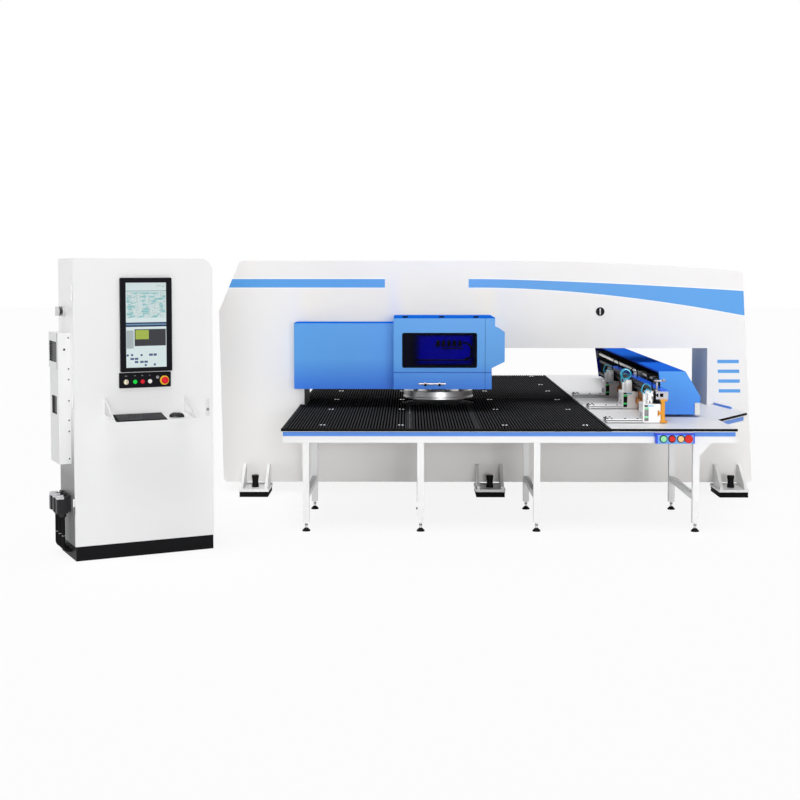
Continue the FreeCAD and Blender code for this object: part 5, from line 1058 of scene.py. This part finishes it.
# ---- control cabinet ---------------------------------------------------------
# A free-standing sheet-steel cabinet, powder-coated in grey-white, on a black
# plinth. Its door carries the screen, the buttons and a folded keyboard tray.
dress("cabinet_door", plain_enamel)
dress("keyboard_tray", plain_enamel)
dress("cabinet_plinth", black_steel)
dress("monitor", black_plastic)
dress("control_panel", black_plastic)
CABINET = Vector((datum.x - 2.567, datum.y - 3.588, 0))
TURN = math.radians(27)
ACROSS = Vector((math.cos(TURN), math.sin(TURN), 0))
INWARD = Vector((-math.sin(TURN), math.cos(TURN), 0))
OUTWARD = tuple(-INWARD)
LEFT_WALL_SHADE_TOP = 1.25


def on_cabinet(u, v, z):
    """Place from the cabinet's own right, back and up."""
    return laid((u, v, z), CABINET, ACROSS)


def cabinet_block(name, low, high, radius):
    """Rounded box drawn square to the cabinet, then turned into its place."""
    return set_down(rounded(name, low, high, radius), CABINET, ACROSS)


def cabinet_drawn(place):
    """Left of the cabinet's left wall, back from its front, and up, as three wires."""
    x, y, z = place.parts()
    right, back = x - CABINET.x, y - CABINET.y
    return right * -ACROSS.x - back * ACROSS.y, right * INWARD.x + back * INWARD.y, z


def cabinet_paint(place):
    """White, with painted shade that turns the left wall greyer from 1.25 m down to the plinth."""
    left, _, z = cabinet_drawn(place)
    low = ((LEFT_WALL_SHADE_TOP - z) * 1.6).ramp()
    return (low * (left > -0.0005)).blend(grey(0.84), (0.15, 0.15, 0.152))


dress("cabinet_shell", enamel("cabinet enamel", cabinet_paint))

# ---- screen ------------------------------------------------------------------
# A portrait panel behind glass shows a plain working page: a table of rows, a dark
# bar, a drawing field with one sheet on it, and rows of keys. It has no wording.
SCREEN_U = (0.397, 0.724)
SCREEN_Z = (1.472, 2.137)
SCREEN_V = -0.0465
SCREEN_SHAPE = 2.03                     # its height over its width
ROUND_KEYS = ((0.045, 0.150), (0.150, 0.152), (0.380, 0.150), (0.480, 0.032), (0.700, 0.036))
FLAT_KEYS = (((0.110, 0.200), (0.095, 0.120)), ((0.215, 0.300), (0.095, 0.120)),
             ((0.215, 0.300), (0.058, 0.083)), ((0.345, 0.430), (0.058, 0.083)),
             ((0.445, 0.530), (0.058, 0.083)), ((0.560, 0.655), (0.138, 0.165)),
             ((0.670, 0.750), (0.138, 0.165)))


def screen_page(name):
    """The page as masks over the panel's own UV map, u to the right and v up."""
    material, place = place_in(name, "UV")
    u, v, _ = place.parts()

    def field(us, vs):
        """1 inside a rectangle of the page."""
        return u.between(*us) * v.between(*vs)

    row = (v * 34.0) % 1.0
    column = (u * 7.0) % 1.0
    table = field((0.03, 0.97), (0.585, 0.885))
    patch = place.noise(1.0, 2.0, (5.0, 22.0, 1.0)) > 0.54
    marks = (place.noise(1.0, 4.0, (60.0, 90.0, 1.0)) > 0.56) * row.between(0.2, 0.7)
    sheet = (((v - 0.385).size() < 0.0015) * 0.4).blend((0.32, 0.40, 0.05), (0.16, 0.20, 0.02))
    keys = 0.0
    for middle_u, middle_v in ROUND_KEYS:
        way = (u - middle_u) ** 2.0 + ((v - middle_v) * SCREEN_SHAPE) ** 2.0
        keys = (way < 0.0008).either(keys)
    for key in FLAT_KEYS:
        keys = field(*key).either(keys)
    page = ((v - 0.5) * 0.8).either(0.0).blend((0.60, 0.70, 0.70), (0.50, 0.60, 0.60))
    for mask, colour in ((table * patch * (row < 0.75), (0.22, 0.50, 0.52)),
                         (table * (row > 0.82) * 0.55, (0.22, 0.34, 0.34)),
                         (table * (column > 0.93) * 0.6, (0.30, 0.40, 0.40)),
                         (table * marks * 0.7, (0.10, 0.20, 0.21)),
                         (v.between(0.893, 0.903), (0.25, 0.38, 0.38)),
                         (field((0.74, 0.96), (0.930, 0.985)) * marks * 0.8, (0.05, 0.07, 0.07)),
                         (v.between(0.480, 0.500).either(v.between(0.515, 0.532)), (0.008, 0.022, 0.090)),
                         (v.between(0.500, 0.515), (0.12, 0.24, 0.36)),
                         (field((0.02, 0.19), (0.230, 0.440)), (0.33, 0.39, 0.40)),
                         (field((0.215, 0.975), (0.256, 0.452)), (0.018, 0.019, 0.026)),
                         (field((0.238, 0.560), (0.335, 0.442)), sheet),
                         (keys, (0.045, 0.085, 0.19)),
                         (1.0 - field((0.012, 0.988), (0.006, 0.994)), grey(0.004))):
        page = mask.blend(page, colour)
    dimmed = page.node("ShaderNodeMix", {0: 0.5, 6: page, 7: (0, 0, 0, 1)}, 2, data_type="RGBA")
    return finish(material, dimmed, 0.08, **{"Emission Color": page, "Emission Strength": 0.55})


def sheet_panel(name, us, v, zs):
    """Flat rectangle in the cabinet's front plane with a UV map from corner to corner."""
    mesh = mesh_of(name, [on_cabinet(u, v, z) for z in zs for u in us], [[0, 1, 3, 2]])
    mesh.uv_layers.new(name="page").data.foreach_set("uv", [0, 0, 1, 0, 1, 1, 0, 1])
    return object_of(name, mesh)


screen = sheet_panel("screen_glass", SCREEN_U, SCREEN_V, SCREEN_Z)
fit(screen, "cabinet_door", "black_plastic", screen_page("screen page"))

# ---- buttons, switches and keys of the cabinet -------------------------------
# Black-ringed push buttons, a selector, a key and a stop button on its yellow
# disc; a black keyboard with low caps; a smooth mouse.
PANEL_V = -0.040
PANEL_HEIGHT = 1.366
BUTTON_US = {"green": 0.468, "red": 0.527, "white": 0.586}
LEGENDS = ((0.398, 0.010), (0.468, 0.006), (0.527, 0.007), (0.586, 0.005))  # middle and half width
for name, u in BUTTON_US.items():
    dress("panel_button_" + name, cap_plastics[name])
    collar("panel_ring_" + name, "cabinet_door", on_cabinet(u, PANEL_V, PANEL_HEIGHT), OUTWARD, 16, 5, 5)
legends = [cabinet_block("panel_legends", (u - half, PANEL_V - 0.0006, 1.409),
                         (u + half, PANEL_V + 0.0005, 1.415), 0.0008) for u, half in LEGENDS]
fit(joined(legends), "cabinet_door", "silver_metal", gauge_grey)
dress("panel_selector", steel("nickelled brass", (0.62, 0.58, 0.46), 0.22, scale=60.0))
dress("panel_key", tool_steel)
dress("panel_stop_button", cap_plastics["red"])
STOP_DISC = [(11.6, 0.2), (11.6, 5), (24, 6.2), (34, 4.6), (36.5, 2), (36.5, 0.2), (11.6, 0.2)]
disc = turned("stop_disc", STOP_DISC, on_cabinet(0.704, PANEL_V, 1.370), OUTWARD)
fit(disc, "cabinet_door", "yellow_plastic", moulded("yellow disc", (0.90, 0.56, 0.01), 0.35))
TRAY_FRONT = -0.351
TRAY_FALL = 0.028 / 0.325
KEYBOARD = (0.262, 0.640, -0.326, -0.156)  # left, right, front and back
KEY_PITCH = 0.0238
dress("keyboard", moulded("keyboard plastic", (0.008, 0.008, 0.009), 0.5, **dull))


def tray_height(v):
    """Height of the tray's upper face, which rises evenly from its front edge to the door."""
    return 1.080 + TRAY_FALL * (v - TRAY_FRONT)


def key_caps():
    """Tapered caps in six rows on the keyboard's slope; the lowest row holds a long bar."""
    u0, u1, v0, v1 = KEYBOARD
    rise = (tray_height(v1) + 0.034 - tray_height(v0) - 0.014) / (v1 - v0)
    parts = []
    for row in range(6):
        near = v0 + 0.014 + row * KEY_PITCH
        edges = np.linspace(u0 + 0.010, u1 - 0.010, 20)
        if row == 0:
            edges = np.delete(edges, [5, 6, 7, 8, 9])
        if row in (2, 4):
            edges = edges + np.where((edges > u0 + 0.02) & (edges < u0 + 0.27), 0.006, 0.0)
        for a, b in zip(edges, edges[1:]):
            points, faces = slab((a + 0.0020, near, 0), (b - 0.0020, near + 0.0195, 0.0065))
            middle = points.mean(0)
            upper = points[:, 2] > middle[2]
            points[upper, :2] -= np.sign(points[upper, :2] - middle[:2]) * (0.0022, 0.0026)
            points[:, 2] += tray_height(v0) + 0.0138 + rise * (points[:, 1] - v0)
            parts.append((points, faces))
    return set_down(loose("key_caps", parts), CABINET, ACROSS)


fit(key_caps(), "cabinet_door", "black_plastic", moulded("key plastic", (0.070, 0.070, 0.075), 0.45, **dull))
MOUSE = (0.755, -0.191, -14)            # across, back, and its turn in degrees
MOUSE_HALF = (0.0585, 0.0315, 0.034)


def mouse_shell():
    """Half of a plump ellipsoid, turned and laid on the slope.

    With tilt t from the top and turn s, it runs a * sin(t)^0.75 * cos(s)^0.9 along,
    b * sin(t)^0.75 * sin(s)^0.8 * (1 - 0.08 cos(s)) across and c * cos(t)^0.8 up.
    """
    tilt = np.linspace(0, math.pi / 2, 12)[:, None]
    turn = np.linspace(0, 2 * math.pi, 40, endpoint=False)[None]
    flat = np.sin(tilt) ** 0.75
    along = MOUSE_HALF[0] * flat * np.sign(np.cos(turn)) * abs(np.cos(turn)) ** 0.9
    across = MOUSE_HALF[1] * flat * np.sign(np.sin(turn)) * abs(np.sin(turn)) ** 0.8
    across = across * (1 - 0.08 * np.cos(turn))
    height = MOUSE_HALF[2] * np.cos(tilt) ** 0.8 * np.ones_like(turn)
    angle = math.radians(MOUSE[2])
    u = MOUSE[0] + along * math.cos(angle) - across * math.sin(angle)
    v = MOUSE[1] + along * math.sin(angle) + across * math.cos(angle)
    z = tray_height(v) + height
    u, v, z = (np.vstack([part, np.full((1, 40), part[-1].mean())]) for part in (u, v, z))
    z[-1] = tray_height(v[-1])
    return surface("mouse_shell", laid(np.stack([u, v, z], -1), CABINET, ACROSS), (False, True))


mouse_plastic = moulded("mouse plastic", NEAR_BLACK, 0.28, **{"Specular IOR Level": 0.25})
fit(mouse_shell(), "cabinet_door", "black_plastic", mouse_plastic, "mouse")
PLUG_LEVER = (0.052, 0.4625)            # left of this and above this lies a plug's locking lever
GLINT_PITCH = 0.17


def plug_paint(place):
    """Dark plugs, bright on the locking lever along their top."""
    left, _, z = cabinet_drawn(place)
    lever = (left > PLUG_LEVER[0]) * (z > PLUG_LEVER[1])
    return lever.blend((0.018, 0.018, 0.020), (0.62, 0.62, 0.64))


def banded_rubber(name):
    """Black cable sheath with a thin grey band every 170 mm of height, a painted highlight for the glints
    along the cables.
    """
    material, place = place_in(name)
    band = (place.parts()[2] / GLINT_PITCH) % 1.0 < 0.03
    tone = band.blend(grey(0.008), (0.35, 0.35, 0.36))
    rough = place.noise(60.0) * 0.2 + 0.5
    return finish(material, tone, rough, 0.0, place.noise(500.0, 1.0), 0.0002, **dull)


dress("plug_connectors", enamel("plug enamel", plug_paint, 0.4, 0.12))
dress("connector_cables", banded_rubber("cable sheath"))
lock = cabinet_block("door_lock_plate", (1.038, -0.0290, 1.069), (1.074, -0.0255, 1.209), 0.003)
fit(lock, "cabinet_door", "white_plastic", pale_plastic)
BARREL = [(0, 4), (10.5, 4), (12, 2), (12, -1), (0, -1)]
barrel = turned("door_lock_barrel", BARREL, on_cabinet(1.060, -0.0290, 1.123), OUTWARD)
fit(barrel, "cabinet_door", "silver_metal", tool_steel)

# ---- main switch and cooling unit --------------------------------------------
# On the cabinet's left wall: a rotary main switch in grey plastic, and an air
# conditioner of folded sheet with a black louvred grille and screwed side flange.
SWITCH_NECK = (0.0221, 0.0459)
COOLER_FACE = 0.0905
GRILLE = ((0.085, 0.0995), (0.1115, 0.3565), (1.524, 1.683))  # left, back and up, as the vent's
VENT = ((0.070, 0.0915), (0.147, 0.321), (1.119, 1.261))
DARK_BAND = (0.0885, 0.1015)            # back, behind the front edge; the drain lies within it


def switch_paint(place):
    """Light grey, with black in the neck and the recess behind the grip."""
    return cabinet_drawn(place)[0].between(*SWITCH_NECK).blend((0.56, 0.56, 0.57), (0.015, 0.015, 0.016))


def cooler_paint(place):
    """White sheet, a little grey on its outer face, black in the grille, vent and band."""
    left, back, z = cabinet_drawn(place)
    black = back.between(*DARK_BAND)
    for lefts, backs, zs in (GRILLE, VENT):
        black = black.either(left.between(*lefts) * back.between(*backs) * z.between(*zs))
    return black.blend(((left > COOLER_FACE) * 0.35).blend(WHITE, (0.45, 0.46, 0.47)), NEAR_BLACK)


dress("isolator_handle", enamel("switch enamel", switch_paint, 0.3))
dress("cooling_unit", enamel("cooler enamel", cooler_paint))
SMALL_HEAD = [(0, 3), (4, 3), (6, 1), (6, -1), (0, -1)]
COOLER_SCREW_ZS = (1.712, 1.473, 1.391, 1.227, 1.077, 0.992, 0.780)
screws = [turned("cooler_screws", SMALL_HEAD, on_cabinet(-0.014, 0.088, z), OUTWARD, 12)
          for z in COOLER_SCREW_ZS]
fit(joined(screws), "root", "black_steel", black_steel)
edge = cabinet_block("cooler_edge", (-0.094, 0.0865, 0.740), (-0.088, 0.0925, 1.476), 0.002)
fit(edge, "root", "frame_white", plain_enamel)

# ---- floor, light and camera -------------------------------------------------
# A white floor that looks lit by itself to the camera, a white surrounding that is
# dimmer as a lamp than as a background, and three broad distant lights: one low from
# the front reaches in under the table, one stands overhead, a weak one at the left.
FLOOR_GLOW = 0.88
SKY_LEVEL = 0.33


def seen_or_mirrored(tree):
    """1 for rays from the camera, from a mirror or through glass, and 0 for the others."""
    rays = tree.nodes.new("ShaderNodeLightPath")
    seen, mirrored, through = (Wire(tree, rays.outputs["Is %s Ray" % kind])
                               for kind in ("Camera", "Glossy", "Transmission"))
    return seen.either(mirrored).either(through)


corners = [(-60, -60, 0), (60, -60, 0), (60, 60, 0), (-60, 60, 0)]
floor = object_of("floor", mesh_of("floor", corners, [[0, 1, 2, 3]]))
floor_paint, place = place_in("floor")
finish(floor_paint, grey(0.96), 0.9)
tree = place.tree
seen = seen_or_mirrored(tree) * FLOOR_GLOW
lit = Wire(tree, tree.nodes["Principled BSDF"].outputs[0])
glow = place.node("ShaderNodeEmission", {"Strength": 1.0})
mixed = place.node("ShaderNodeMixShader", {0: seen, 1: lit, 2: glow})
tree.links.new(mixed.socket, tree.nodes["Material Output"].inputs[0])
floor.data.materials.append(floor_paint)

world = bpy.data.worlds.new("studio")
bpy.context.scene.world = world
world.use_nodes = True
tree = world.node_tree
background = tree.nodes["Background"]
background.inputs["Color"].default_value = (1, 1, 1, 1)
strength = seen_or_mirrored(tree) * (1 - SKY_LEVEL) + SKY_LEVEL
tree.links.new(strength.socket, background.inputs["Strength"])

for name, toward, level, spread in (("front_light", (0.12, -1.0, 0.04), 0.49, 18),
                                    ("top_light", (-0.06, -0.32, 1.0), 0.48, 40),
                                    ("left_light", (-1.0, -0.35, 0.30), 0.12, 30)):
    lamp = bpy.data.lights.new(name, "SUN")
    lamp.angle = math.radians(spread)
    lamp.energy = level * math.pi
    holder = bpy.data.objects.new(name, lamp)
    holder.location = Vector(toward) * 12
    holder.rotation_euler = Vector(toward).to_track_quat("Z", "Y").to_euler()
    bpy.context.scene.collection.objects.link(holder)

CAMERA_SPOT = (0, -13.868, 2.262)
CAMERA_TURN = (90 - 2.84, 0, 0.42)      # in degrees: it looks down a little, and a little to the left
lens = bpy.data.cameras.new("camera")
lens.sensor_width = 36.0
lens.lens = 60.975
lens.shift_y = -0.0835
camera = bpy.data.objects.new("camera", lens)
camera.location = at(*CAMERA_SPOT)
camera.rotation_euler = [math.radians(angle) for angle in CAMERA_TURN]
bpy.context.scene.collection.objects.link(camera)
bpy.context.scene.camera = camera
bpy.context.scene.view_settings.view_transform = "Standard"
